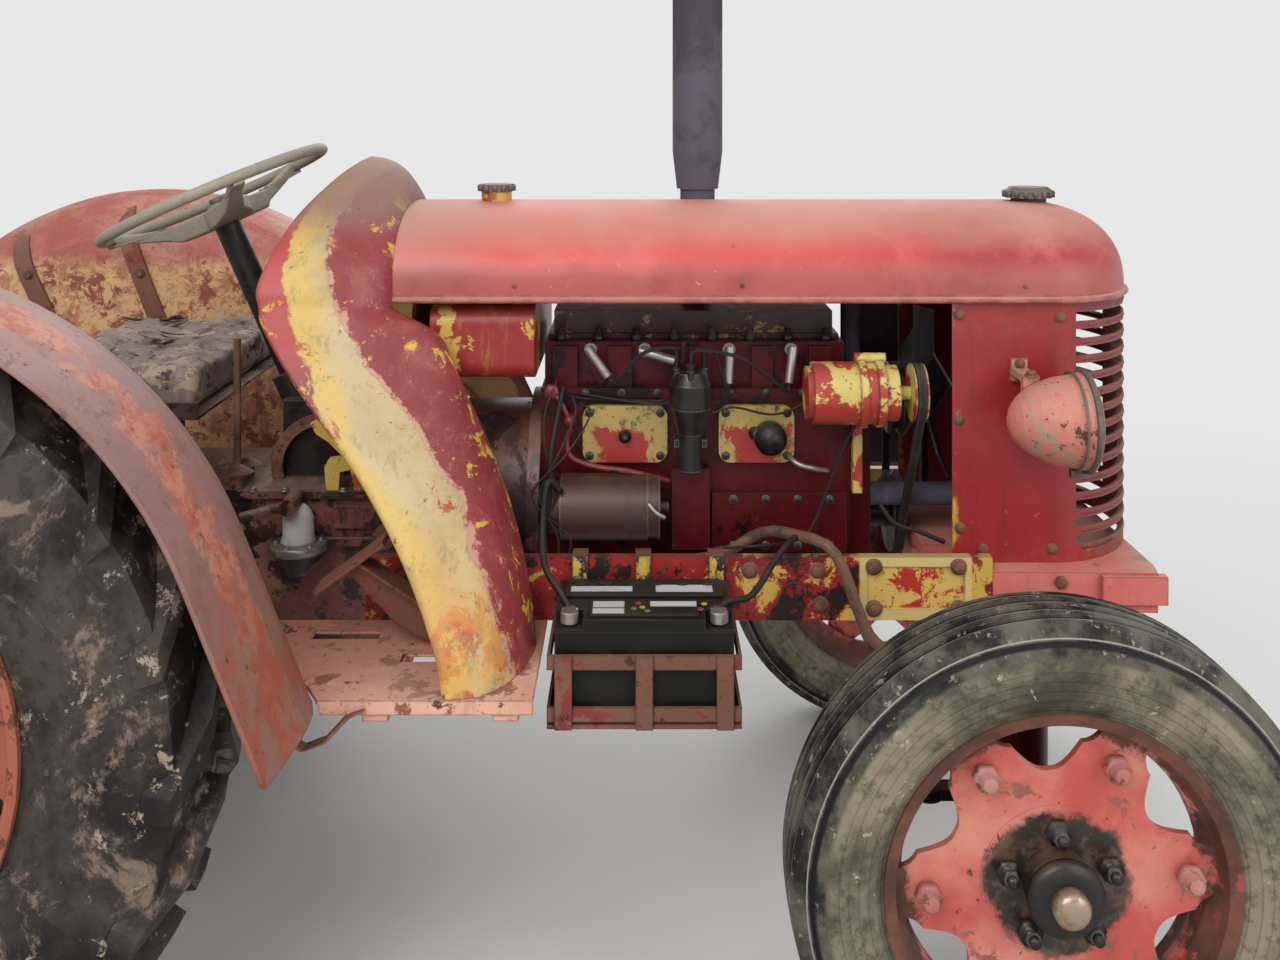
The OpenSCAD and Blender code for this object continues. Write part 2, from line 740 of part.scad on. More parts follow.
// The plan of the nose: straight sides, then half an ellipse
module nose_plan(inset) {
    b = nose_b - inset;
    a = nose_a - inset;
    translate([panel_x, -b]) square([nose_x - panel_x, 2 * b]);
    intersection() {
        translate([nose_x, 0]) scale([a / b, 1]) circle(r = b, $fn = 96);
        translate([nose_x - eps, -b]) square([a + 10, 2 * b]);
    }
}

// The nose: two flat side panels, and two halves with cooling slots beside a middle strip
module nose_grille() {
    slots_z = nose_z + (nose_top - nose_z - (slot_count - 1) * slot_pitch) / 2;
    high = bonnet_z - 12 - seat_gap - nose_z;
    color("crimson") both_sides() {
        block([panel_x, -nose_b, nose_z], [nose_x - seat_gap, -nose_b + sheet_t, nose_z + high]);
        difference() {
            translate([0, 0, nose_z]) linear_extrude(high) difference() {
                intersection() {
                    nose_plan(0);
                    translate([nose_x, -nose_b]) square([nose_a, nose_b - seat_gap / 2]);
                }
                nose_plan(sheet_t);
            }
            for (i = [0 : slot_count - 1])
                translate([0, 0, slots_z + i * slot_pitch - slot_h / 2]) linear_extrude(slot_h)
                    polygon([[nose_x, -40], [nose_x + nose_a + 20, -40],
                        [nose_x + nose_a + 20, -nose_b - 20], [nose_x + 40, -nose_b - 20],
                        [nose_x + 40, -60]]);
        }
    }
}

module filler_caps() {
    color("dimgray") {
        translate([fuel_cap_x, 0, 1352 + seat_gap]) cylinder(r = 32, h = 14);
        translate([radiator_cap_x, 0, 1339 + seat_gap]) {
            cylinder(r = 46, h = 14);
            translate([0, 0, 14]) cylinder(r1 = 46, r2 = 38, h = 7);
        }
    }
}

// Headlamps: egg-shaped bowls on brackets at the nose's sides
lamp_pos = [1186, nose_b + lamp_r + 14, 976];

module headlamps() {
    color("rosybrown") both_sides() {
        translate([lamp_pos[0], -lamp_pos[1], lamp_pos[2]]) rotate([0, 90, 0]) rotate_extrude()
            polygon(concat([[0, -124]], [for (a = [10 : 10 : 80]) [lamp_r * sin(a) * 0.97, -124 * cos(a)]],
                [[lamp_r, 0], [lamp_r + 3, 4], [lamp_r + 3, 14], [lamp_r - 6, 18], [lamp_r - 6, 8], [0, 8]]));
        block([lamp_pos[0] - 92, -lamp_pos[1] + 20, lamp_pos[2] + 62],
            [lamp_pos[0] - 62, -nose_b - seat_gap, lamp_pos[2] + 74]);
        block([lamp_pos[0] - 92, -lamp_pos[1] + 20, lamp_pos[2] + 20],
            [lamp_pos[0] - 62, -lamp_pos[1] + 32, lamp_pos[2] + 74]);
        block([lamp_pos[0] - 92, -nose_b - 8, lamp_pos[2] + 50],
            [lamp_pos[0] - 62, -nose_b - seat_gap, lamp_pos[2] + 90]);
    }
}

module headlamp_glasses() {
    color("white", 0.5) both_sides()
        translate([lamp_pos[0] + 8 + seat_gap, -lamp_pos[1], lamp_pos[2]]) rotate([0, 90, 0])
            cylinder(r1 = lamp_r - 7, r2 = lamp_r - 20, h = 14);
}

// Scuttle

// Rows of the scuttle on the right, from the crown down to the footplate.
// Columns: the rear rim's x, y, z and the front edge's x, y, z. The first rows meet the
// bonnet's rear edge, at the angles of the table across its arch.
cowl_rims = [[-107, 0, 1421], [-140, -100, 1394], [-189, -200, 1333], [-212, -280, 1280], [-235, -330, 1210]];
cowl_angles = [90, 113, 137, 158, 176];
cowl_sides = [
    [-229, -342, 1172, -18, -266, 1160],
    [-219, -352, 1140, 70, -272, 1110],
    [-162, -380, 1057, 112, -290, 1030],
    [-35, -450, 914, 172, -312, 905],
    [52, -520, 798, 215, -340, 790],
    [112, -580, 681, 243, -372, 675],
    [128, -600, plate_z + seat_gap, 251, -396, plate_z + seat_gap]
];
cowl_rows = concat([for (i = [0 : len(cowl_rims) - 1])
    concat(cowl_rims[i], arch_point(bonnet_back - seat_gap - nose_x, cowl_angles[i]))], cowl_sides);

// A row's curve: a bend with one control point above its front edge
function cowl_point(row, u) =
    let (a = [row[0], row[1], row[2]], b = [row[3], row[4], row[5]],
         c = [mix(row[0], row[3], 0.9), row[1], mix(row[2], row[5], 0.05)])
    (1 - u) * (1 - u) * a + 2 * u * (1 - u) * c + u * u * b;

module cowl() {
    us = [0, 0.05, 0.2, 0.4, 0.6, 0.8, 1];
    thick = [14, 12, sheet_t, sheet_t, sheet_t, sheet_t, sheet_t];
    right = [for (i = [len(cowl_rows) - 1 : -1 : 0]) [for (u = us) cowl_point(cowl_rows[i], u)]];
    left = [for (i = [1 : len(cowl_rows) - 1]) [for (p = [for (u = us) cowl_point(cowl_rows[i], u)])
        [p[0], -p[1], p[2]]]];
    outer = concat(right, left);
    inner = [for (i = [0 : len(outer) - 1]) [for (j = [0 : len(us) - 1])
        let (p = outer[i][j] + thick[j] * grid_normal(outer, i, j))
        [p[0], p[1], max(p[2], plate_z + seat_gap)]]];
    color("khaki") sheet(outer, inner);
}

// The bulkhead across the scuttle, with the dials' panel
module instrument_panel() {
    color("maroon") {
        block([4, -176, gear_top + seat_gap], [10, 176, 1236]);
        block([-60, -170, 1180], [4, 170, 1188]);
    }
    color("black") for (y = [-90, 90]) disc_x(y, 1120, 40, -6, 4 + seat_gap);
}

// Footplates, pedals and levers

module footplates() {
    color("rosybrown") both_sides() {
        difference() {
            translate([0, 0, plate_z - 6]) linear_extrude(6) footplate_plan();
            block([-137, -372, plate_z - 7], [-21, -338, plate_z + 1]);
            block([33, -462, plate_z - 7], [100, -430, plate_z + 1]);
        }
        block([-66, -plate_y, plate_z - 22], [262, -plate_y + 6, plate_z - 5]);
        for (x = [0, 200])
            block([x, -plate_y + 5, plate_z - 34], [x + 40, -rail_y - seat_gap, plate_z - 5]);
    }
}

// The right footplate's plan, cut back along the mudguard's tail
module footplate_plan() {
    polygon([[-68, -plate_y], [262, -plate_y], [262, -rail_y - seat_gap], [-250, -rail_y - seat_gap],
        [-250, -panel_y + 3], [-196, -panel_y + 3], [-150, -panel_y - 8], [-122, -panel_y - 24],
        [-94, -panel_y - 52]]);
}

// The brake and clutch pedals: a tilted pad on a tapered arm with a flange
module pedals() {
    color("saddlebrown") for (side = [-1, 1]) {
        y = side * 400;
        translate([-58, y, 752]) rotate([0, -36, 0]) translate([-71, -32, -4]) cube([142, 64, 8]);
        translate([0, y + 7, 0]) rotate([90, 0, 0]) linear_extrude(14)
            polygon([[-68, 742], [-46, 758], [114, 652], [114, 622], [82, 618], [20, 648]]);
        translate([0, y + 24, 0]) rotate([90, 0, 0]) linear_extrude(48)
            polygon([[-48, 757], [-42, 760], [116, 656], [112, 650]]);
        disc_y(96, plate_z + 20, 18, y - 26, y + 26);
        block([80, y - 24, plate_z + seat_gap], [112, y + 24, plate_z + 12]);
    }
}

// The gear lever, the near lever on its domed foot, a strap quadrant and a hooked bracket
module levers() {
    x = -337;
    color("saddlebrown") {
        rod([x, -130, gear_top + 20], [x, -130, 1081], 7);
        translate([x, -130, gear_top + seat_gap]) cylinder(r = 16, h = 30);
        translate([x, -130, gear_top + 28]) cylinder(r1 = 30, r2 = 8, h = 14);
        rod([-318, 130, 1075], [-300, 104, gear_top + 20], 8);
        translate([-318, 130, 1075]) sphere(r = 20);
        translate([-300, 104, gear_top + seat_gap]) cylinder(r1 = 38, r2 = 26, h = 42);
        translate([-340, -60, gear_top + seat_gap]) cylinder(r = 14, h = 26);
        translate([-340, -60, gear_top + 24]) cylinder(r1 = 28, r2 = 6, h = 13);
    }
    color("dimgray") {
        translate([0, -72, 0]) rotate([90, 0, 0]) linear_extrude(9) difference() {
            translate([-187, gear_top + 26]) circle(r = 100);
            translate([-187, gear_top + 26]) circle(r = 78);
            translate([-187, gear_top - 100]) square([120, 260]);
            translate([-300, gear_top - 100]) square([240, 100 + seat_gap]);
        }
    }
    color("khaki") translate([0, -gear_y + 16, 0]) rotate([90, 0, 0]) linear_extrude(18)
        polygon([[-194, 925], [-182, 905], [-159, 890], [-131, 862], [-159, 858], [-167, 843],
            [-163, gear_top + seat_gap], [-140, gear_top + seat_gap], [-138, 834], [-118, 838],
            [-110, gear_top + seat_gap], [-88, gear_top + seat_gap], [-91, 853], [-118, 894],
            [-154, 921], [-174, 934]]);
}

// Transmission

module gearbox() {
    color("maroon") {
        disc_x(0, 745, 190, 80, engine_x - seat_gap);
        disc_x(0, 745, 212, engine_x - 24, engine_x - seat_gap);
        block([-560, -gear_y, 520], [82, gear_y, gear_top]);
        block([-1000, -190, 440], [-560, 190, gear_top - 20]);
        block([-575, -200, 430], [-545, 200, gear_top + 4]);
        block([-330, -gear_y - 10, gear_top - 14], [40, gear_y + 10, gear_top]);
        block([-180, -gear_y - 14, 698], [40, gear_y + 14, 712]);
        block([-150, -gear_y - 8, 730], [10, gear_y + 8, gear_top - 30]);
        translate([-207, -gear_y - 34, 700]) cylinder(r = 50, h = 14);
        translate([-207, -gear_y - 34, 655]) cylinder(r1 = 20, r2 = 42, h = 46);
        translate([-207, -gear_y - 34, 713]) cylinder(r = 27, h = 48);
        translate([-207, -gear_y - 34, 760.5]) cylinder(r1 = 27, r2 = 12, h = 22);
        rod([-216, -gear_y - 70, 793], [-302, -gear_y - 70, 770], 9);
        disc_y(-216, 791, 15, -gear_y - 82, -gear_y - 5);
        disc_x(0, 560, 60, -1040, -1000);
        disc_x(0, 560, pto_r, -1120, -1040);
    }
}

module rear_axle_housing() {
    color("maroon") both_sides() {
        disc_y(rear_x, rear_z, 100, -330, -190 - seat_gap);
        disc_y(rear_x, rear_z, 86, -560, -330);
        disc_y(rear_x, rear_z, 112, -575, -545);
    }
}

module drawbar() {
    color("dimgray") difference() {
        union() {
            block([-1320, -38, 380], [-600, 38, 400]);
            both_sides() block([-1010, -260, 352], [-980, -38, 400]);
            both_sides() block([-1010, -260, 352], [-980, -236, 560]);
            both_sides() block([-1010, -260, 530], [-960, -191, 560]);
            block([-640, -38, 380], [-600, 38, 439.7]);
        }
        translate([-1285, 0, 370]) cylinder(r = hitch_pin_r, h = 40);
    }
}

// Seat and mudguards

module seat_frame() {
    color("maroon") {
        both_sides() {
            block([seat_back, -310, 970], [seat_front, -274, 975]);
            block([seat_back, -310, 970], [seat_front, -305, 1000]);
            for (x = [seat_back + 30, seat_back + 92]) {
                block([x, -310, gear_top - 20 + seat_gap], [x + 36, -304, 972]);
                block([x, -310, gear_top - 20 + seat_gap], [x + 36, -150, gear_top - 14]);
            }
        }
        for (x = [seat_back, seat_front - 36]) block([x, -306, 971], [x + 36, 306, 976]);
    }
}

module seat_cushion() {
    color("black") block([seat_back, -300, 976 + seat_gap], [seat_front, 300, seat_top]);
}

// The mudguard's section: radius about the axle against distance from the middle
function guard_line(inset) = concat(
    [[guard_r + inset, guard_y]],
    [for (k = [1 : 3]) [mix(guard_r, 678, sin(k * 30)) + inset, mix(guard_y, 700, k / 3)]],
    [for (a = [15 : 15 : 90]) [540 + (138 + inset) * cos(a), 700 - (200 - sheet_t + inset) * sin(a)]],
    [[520, panel_y + sheet_t - inset]]);

// The skin of a mudguard's arch as a closed section
module guard_section() {
    polygon(concat(guard_line(sheet_t), [for (k = [len(guard_line(0)) - 1 : -1 : 0]) guard_line(0)[k]]));
}

guard_from = 22;
guard_to = 152;
guard_tail = 288;

module mudguard() {
    color("brown") translate([rear_x, 0, rear_z]) {
        rotate([90, 0, 0]) rotate([0, 0, guard_from]) mirror([0, 0, 1])
            rotate_extrude(angle = guard_to - guard_from, $fn = 72) guard_section();
        rotate([0, -guard_from, 0]) rotate([0, 180, 0]) mirror([1, 0, 0])
            linear_extrude(guard_tail) guard_section();
        translate([0, panel_y, 0]) rotate([-90, 0, 0]) mirror([0, 1, 0]) linear_extrude(sheet_t) guard_panel();
    }
}

// The flat inner panel: round above the axle, straight along the tail, cut round the housing
module guard_panel() {
    r = 530;
    low = -20;
    tail = (r * sin(guard_from) - low) / cos(guard_from);
    difference() {
        polygon(concat([for (a = [guard_to - 1 : -5 : guard_from + 4]) r * [cos(a), sin(a)]],
            [[r * cos(guard_from) + tail * sin(guard_from), low], [0, low], [0, 0]]));
        circle(r = 86 + seat_gap);
    }
}

module mudguard_left() {
    mudguard();
}

module mudguard_right() {
    mirror([0, 1, 0]) mudguard();
}

// Battery

battery_x = 288;
battery_y = rail_y + 12;
battery_z = 521;

module battery() {
    x1 = battery_x + battery_len;
    color("black") {
        block([battery_x, -battery_y - battery_w, battery_z], [x1, -battery_y, battery_z + battery_h - 20]);
        difference() {
            block([battery_x - 2, -battery_y - battery_w - 2, battery_z + battery_h - 21],
                [x1 + 2, -battery_y + 2, battery_z + battery_h]);
            for (x = [battery_x - 3, x1 - 45])
                block([x, -battery_y - battery_w - 3, battery_z + battery_h - 16],
                    [x + 48, -battery_y - battery_w + 42, battery_z + battery_h + 1]);
        }
        for (x = [battery_x + 22, x1 - 22])
            translate([x, -battery_y - battery_w + 22, battery_z + battery_h - 17]) cylinder(r = 9, h = 18);
    }
}

module battery_cradle() {
    x0 = battery_x - 8;
    x1 = battery_x + battery_len + 8;
    y0 = -battery_y - battery_w - 8;
    color("sienna") {
        for (z = [battery_z + 4, battery_z + 88]) difference() {
            block([x0 - 5, y0 - 5, z], [x1 + 5, -rail_y - seat_gap, z + 24]);
            block([x0, y0, z - 1], [x1, -battery_y + 8, z + 25]);
        }
        block([x0 - 5, y0 - 5, battery_z - 7], [x1 + 5, -rail_y - seat_gap, battery_z - 0.3]);
        for (x = [x0 + 8, (x0 + x1) / 2 - 14, x1 - 36])
            block([x, y0 - 10, battery_z - 7], [x + 28, y0 - 4, battery_z + 112]);
        for (x = [306, 418, 547]) {
            block([x, -rail_y - 5.3, battery_z + 90], [x + 28, -rail_y - seat_gap, rail_top + 5]);
            block([x, -rail_y - 5.3, rail_top + seat_gap], [x + 28, -rail_y + 34, rail_top + 5]);
        }
    }
}

// Wheels

module front_tyre() {
    w = front_tyre_w / 2;
    r = front_tyre_r;
    color("black") translate([front_x, front_y, front_z]) rotate([90, 0, 0]) rotate_extrude($fn = 96)
        polygon(concat(
            [[front_rim_r - 8 + seat_gap, -w + 24], [front_rim_r + 2, -w + 23], [front_rim_r + 24, -w + 8], [front_rim_r + 66, -w],
             [r - 34, -w + 6], [r - 12, -w + 18]],
            [for (g = [-44, -14, 16, 46], p = [[0, 0], [6, 0], [8, -11], [14, -11], [16, 0]])
                [r - 2 * abs(g) / 44 + p[1], g - 8 + p[0]]],
            [[r - 12, w - 18], [r - 34, w - 6], [front_rim_r + 66, w], [front_rim_r + 24, w - 8],
             [front_rim_r + 2, w - 23], [front_rim_r - 8 + seat_gap, w - 24]]));
}

module front_wheel() {
    w = front_tyre_w / 2 - 24;
    r = front_rim_r;
    t = rim_wall + 4;
    color("firebrick") translate([front_x, front_y, front_z]) rotate([90, 0, 0]) {
        rotate_extrude($fn = 96) polygon([[r - 8, -w - 1], [r, -w - 3], [r, -w - 10], [r - 8 - t, -w - 4],
            [r - 12 - t, -w + 20], [r - 26 - t, -8], [r - 26 - t, 8], [r - 12 - t, w - 20],
            [r - 8 - t, w + 4], [r, w + 10], [r, w + 3], [r - 8, w + 1], [r - 8, w - 14], [r - 14, w - 22],
            [r - 26, 10], [r - 26, -10], [r - 14, -w + 22], [r - 8, -w + 14]]);
        translate([0, 0, -34]) difference() {
            union() {
                cylinder(r = 112, h = 14);
                translate([0, 0, 1]) linear_extrude(12) difference() {
                    circle(r = r - 23, $fn = 96);
                    for (a = [0 : 360 / front_lobes : 359]) rotate([0, 0, a + 34]) spider_window();
                }
                for (a = [0 : 360 / front_lobes : 359]) rotate([0, 0, a + 4])
                    translate([190, 0, -22]) cylinder(r = 11, h = 30);
            }
            translate([0, 0, -50]) cylinder(r = stub_r + 8, h = 100);
        }
        difference() {
            translate([0, 0, -74]) cylinder(r = 50, h = 104);
            translate([0, 0, -75]) cylinder(r = stub_r + run_gap, h = 120);
        }
        for (a = [0 : 72 : 288]) rotate([0, 0, a + 20]) translate([78, 0, -50]) cylinder(r = 9, h = 20);
    }
}

// A window of the front wheel's spider, open towards the rim
module spider_window() {
    translate([232, 0]) circle(r = 48);
    for (a = [-13, 13]) rotate([0, 0, a]) translate([240, 0]) circle(r = 34);
}

module rear_tyre() {
    w = rear_tyre_w / 2;
    r = rear_tyre_r - lug_h;
    color("black") translate([rear_x, rear_y, rear_z]) rotate([90, 0, 0]) {
        rotate_extrude($fn = 2 * lug_count) polygon([[rear_rim_r - 6, -w + 30], [rear_rim_r + 6, -w + 29],
            [rear_rim_r + 90, -w], [r - 46, -w + 4], [r - 12, -w + 24], [r, 0], [r - 12, w - 24],
            [r - 46, w - 4], [rear_rim_r + 90, w], [rear_rim_r + 6, w - 29], [rear_rim_r - 6, w - 30]]);
        for (i = [0 : lug_count - 1], side = [0, 1])
            rotate([0, 0, (i + side / 2) * 360 / lug_count]) mirror([0, 0, side]) lug(r, w);
    }
}

// One lug: a bar from the middle of the tread back to the shoulder.
// Columns: turn about the axle, place across the tread, tip's drop below the crown.
lug_stations = [[0, -4, 0], [7.5, 70, 4], [15, 148, 34]];

module lug(r, w) {
    for (i = [0 : len(lug_stations) - 2])
        hull() polyhedron(concat(lug_ring(lug_stations[i], r, w), lug_ring(lug_stations[i + 1], r, w)),
            [[0, 1, 2, 3], [7, 6, 5, 4], [0, 4, 5, 1], [1, 5, 6, 2], [2, 6, 7, 3], [3, 7, 4, 0]]);
}

// A lug's section at one station: wider at its foot, inside the carcass
function lug_ring(station, r, w) =
    let (foot = r - station[2] - 12, tip = r + lug_h - station[2], z = station[1] * w / 150)
    [for (p = [[foot, -lug_w * 0.62], [tip, -lug_w / 2], [tip, lug_w / 2], [foot, lug_w * 0.62]])
        [p[0] * cos(station[0]) + p[1] * sin(station[0]),
         p[1] * cos(station[0]) - p[0] * sin(station[0]), z]];

module rear_wheel() {
    w = rear_tyre_w / 2 - 30;
    r = rear_rim_r;
    t = rim_wall + 6;
    // The faceted tyre's flats stand inside its radius by the share of half a facet
    bead = (r - 6) * cos(180 / (2 * lug_count)) - seat_gap;
    color("orangered") translate([rear_x, rear_y, rear_z]) rotate([90, 0, 0]) {
        rotate_extrude($fn = 96) polygon([[bead, -w - 1], [r, -w - 3], [r, -w - 12], [bead - t, -w - 4],
            [r - 16 - t, -w + 30], [r - 36 - t, -20], [r - 36 - t, 20], [r - 16 - t, w - 30],
            [bead - t, w + 4], [r, w + 12], [r, w + 3], [bead, w + 1], [bead, w - 20], [r - 16, w - 30],
            [r - 36, 24], [r - 36, -24], [r - 16, -w + 30], [bead, -w + 20]]);
        rotate_extrude($fn = 96) polygon([[90, 20], [200, 20], [260, -10], [r - 35 - t, -10],
            [r - 35 - t, 0], [262, 0], [204, 32], [90, 32]]);
        cylinder(r = 120, h = 34);
        cylinder(r = 60, h = rear_y - 575 - 0.5);
        for (a = [0 : 45 : 315]) rotate([0, 0, a]) translate([150, 0, 8]) cylinder(r = 13, h = 16);
    }
}

module front_tyre_left() {
    front_tyre();
}

module front_tyre_right() {
    mirror([0, 1, 0]) front_tyre();
}

module front_wheel_left() {
    front_wheel();
}

module front_wheel_right() {
    mirror([0, 1, 0]) front_wheel();
}

module rear_tyre_left() {
    rear_tyre();
}

module rear_tyre_right() {
    mirror([0, 1, 0]) rear_tyre();
}

module rear_wheel_left() {
    rear_wheel();
}

module rear_wheel_right() {
    mirror([0, 1, 0]) rear_wheel();
}

side_rails();
front_casting();
gearbox();
rear_axle_housing();
engine_block();
engine_covers();
starter_motor();
dynamo();
distributor();
spark_plugs();
wiring();
fan_drive();
fan_belt();
radiator();
manifold();
exhaust_stack();
fuel_tank();
bonnet();
nose_grille();
filler_caps();
headlamps();
headlamp_glasses();
cowl();
instrument_panel();
steering_column();
drop_arm();
drag_link();
steering_wheel();
footplates();
pedals();
levers();
seat_frame();
seat_cushion();
mudguard_left();
mudguard_right();
battery();
battery_cradle();
front_axle();
knuckle_left();
knuckle_right();
track_rod();
front_tyre_left();
front_tyre_right();
front_wheel_left();
front_wheel_right();
rear_tyre_left();
rear_tyre_right();
rear_wheel_left();
rear_wheel_right();
drawbar();
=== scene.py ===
"""Looks of an old, worn farm tractor with an open engine bay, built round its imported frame."""

import random
from functools import partialmethod, reduce
from math import acos, copysign, cos, hypot, pi, radians, sin

import bmesh
import bpy
from mathutils import Matrix, Vector, noise


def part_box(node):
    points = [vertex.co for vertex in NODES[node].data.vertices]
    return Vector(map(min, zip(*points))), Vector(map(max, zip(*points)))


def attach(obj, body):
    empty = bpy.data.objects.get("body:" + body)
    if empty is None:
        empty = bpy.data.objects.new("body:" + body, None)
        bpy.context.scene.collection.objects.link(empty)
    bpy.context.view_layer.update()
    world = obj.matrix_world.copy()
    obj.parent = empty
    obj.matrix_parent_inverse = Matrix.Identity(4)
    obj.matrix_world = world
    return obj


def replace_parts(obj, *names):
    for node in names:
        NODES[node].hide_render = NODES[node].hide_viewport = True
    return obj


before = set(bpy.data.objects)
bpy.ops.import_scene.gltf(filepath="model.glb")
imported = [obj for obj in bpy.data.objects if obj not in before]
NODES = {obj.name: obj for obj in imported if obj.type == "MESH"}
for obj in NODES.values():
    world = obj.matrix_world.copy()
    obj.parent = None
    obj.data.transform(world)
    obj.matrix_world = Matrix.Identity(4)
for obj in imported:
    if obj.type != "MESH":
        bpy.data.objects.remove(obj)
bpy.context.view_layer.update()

random.seed(7)

# Places shared with the frame, in metres
FRONT_X, REAR_X = 1.033, -0.797
FRONT_Z, REAR_Z = 0.392, 0.628
FRONT_Y, REAR_Y = 0.66, 0.69
RAIL_Y = 0.290
ENGINE_FACE = -0.152
COLUMN_TILT = radians(24)
NEAR = Vector((0, -1, 0))
WHEEL_CENTRE = Vector((-0.423, 0, 1.344))


# Colours that several paints share
CREAM = "#cdbb6c"
OCHRE = "#c8982f"
RUST = "#8a4a2c"
RUST_DARK = "#4f3026"
IRON = "#2a2624"
GREASE = "#171413"
STEEL = "#8f8a84"
DUST = "#8d7868"
MUD = "#6f6253"


def hex_colour(text):
    """Linear red, green, blue and alpha of a colour written as #rrggbb."""
    values = [int(text[i:i + 2], 16) / 255 for i in (1, 3, 5)]
    linear = [v / 12.92 if v <= 0.04045 else ((v + 0.055) / 1.055) ** 2.4 for v in values]
    return (*linear, 1.0)


class Nodes:
    """Short calls that add nodes to a tree."""

    def __init__(self, tree):
        self.tree = tree

    def link(self, source, target):
        if isinstance(source, str):
            target.default_value = hex_colour(source)
        elif isinstance(source, (int, float, tuple)):
            target.default_value = source
        else:
            self.tree.links.new(source, target)

    def node(self, kind, inputs=(), **settings):
        """A new node; its inputs, by name or number, are given a value or linked."""
        node = self.tree.nodes.new("ShaderNode" + kind)
        for key, value in settings.items():
            setattr(node, key, value)
        for key, source in dict(inputs).items():
            self.link(source, node.inputs[key])
        return node

    def arithmetic(self, operation, a, b=0.0, clamp=False):
        return self.node("Math", {0: a, 1: b}, operation=operation, use_clamp=clamp).outputs[0]

    def seen(self):
        """1 on rays from the camera, mirrors and glass, which see the backdrop."""
        paths = self.node("LightPath").outputs
        mirrored = self.arithmetic("MAXIMUM", paths["Is Glossy Ray"], paths["Is Transmission Ray"])
        return self.arithmetic("MAXIMUM", paths["Is Camera Ray"], mirrored)


class Paint(Nodes):
    """A material under construction: calls return outputs of its nodes, and coat is the colour so far."""

    def __init__(self, name):
        self.material = bpy.data.materials.new(name)
        self.material.use_nodes = True
        super().__init__(self.material.node_tree)
        self.shader = self.tree.nodes["Principled BSDF"]
        self.coords = self.node("TexCoord").outputs["Object"]
        self.x, self.y, self.z = self.node("SeparateXYZ", {0: self.coords}).outputs
        self.coat = None

    # Shares are kept within 0 and 1, places and distances are not
    times, plus, less, most = (partialmethod(Nodes.arithmetic, word, clamp=True)
                               for word in ("MULTIPLY", "ADD", "SUBTRACT", "MAXIMUM"))
    mul, add, sub, abs = (partialmethod(Nodes.arithmetic, word)
                          for word in ("MULTIPLY", "ADD", "SUBTRACT", "ABSOLUTE"))

    def stretched(self, scale):
        """Object coordinates multiplied along each axis."""
        return self.node("VectorMath", {0: self.coords, 1: scale}, operation="MULTIPLY").outputs[0]

    def noise(self, scale, detail=6.0, rough=0.6, warp=0.0, coords=None):
        inputs = {"Scale": scale, "Detail": detail, "Roughness": rough, "Distortion": warp,
                  "Vector": self.coords if coords is None else coords}
        return self.node("TexNoise", inputs).outputs["Fac"]

    def step(self, value, low, high):
        """0 below low, 1 above high, smooth between; low may be above high."""
        flip = float(low > high)
        inputs = {"Value": value, "From Min": min(low, high), "From Max": max(low, high), "To Min": flip,
                  "To Max": 1.0 - flip}
        return self.node("MapRange", inputs, interpolation_type="SMOOTHSTEP").outputs["Result"]

    def spots(self, low, high, *noise):
        """Spots where a noise passes from low to high."""
        return self.step(self.noise(*noise), low, high)

    def wander(self, reach, *noise):
        """A noise about zero, for ragged borders."""
        return self.mul(self.sub(self.noise(*noise), 0.5), reach)

    def mix(self, share, a, b):
        return self.node("Mix", {0: share, 6: a, 7: b}, data_type="RGBA").outputs[2]

    def over(self, base, colour, share, strength=1.0):
        return self.mix(share if strength == 1.0 else self.times(share, strength), base, colour)

    def lay(self, colour, share, strength=1.0):
        """Lays a colour over the coat."""
        self.coat = self.over(self.coat, colour, share, strength)

    def up(self):
        """How far the surface faces upwards, from -1 to 1."""
        normal = self.node("NewGeometry").outputs["Normal"]
        return self.node("SeparateXYZ", {0: normal}).outputs["Z"]

    def edges(self):
        """1 along sharp edges, where a bevelled normal leaves the true one."""
        normal = self.node("NewGeometry").outputs["Normal"]
        bevelled = self.node("Bevel", {"Radius": 0.004}, samples=3).outputs[0]
        dot = self.node("VectorMath", {0: normal, 1: bevelled}, operation="DOT_PRODUCT")
        return self.step(dot.outputs["Value"], 0.985, 0.90)

    def finish(self, rough, height=None, bump=0.3, depth=0.002, metal=0.0):
        for name, source in (("Base Color", self.coat), ("Roughness", rough), ("Metallic", metal)):
            self.link(source, self.shader.inputs[name])
        if height is not None:
            inputs = {"Strength": bump, "Distance": depth, "Height": height}
            self.link(self.node("Bump", inputs).outputs[0], self.shader.inputs["Normal"])
        return self.material


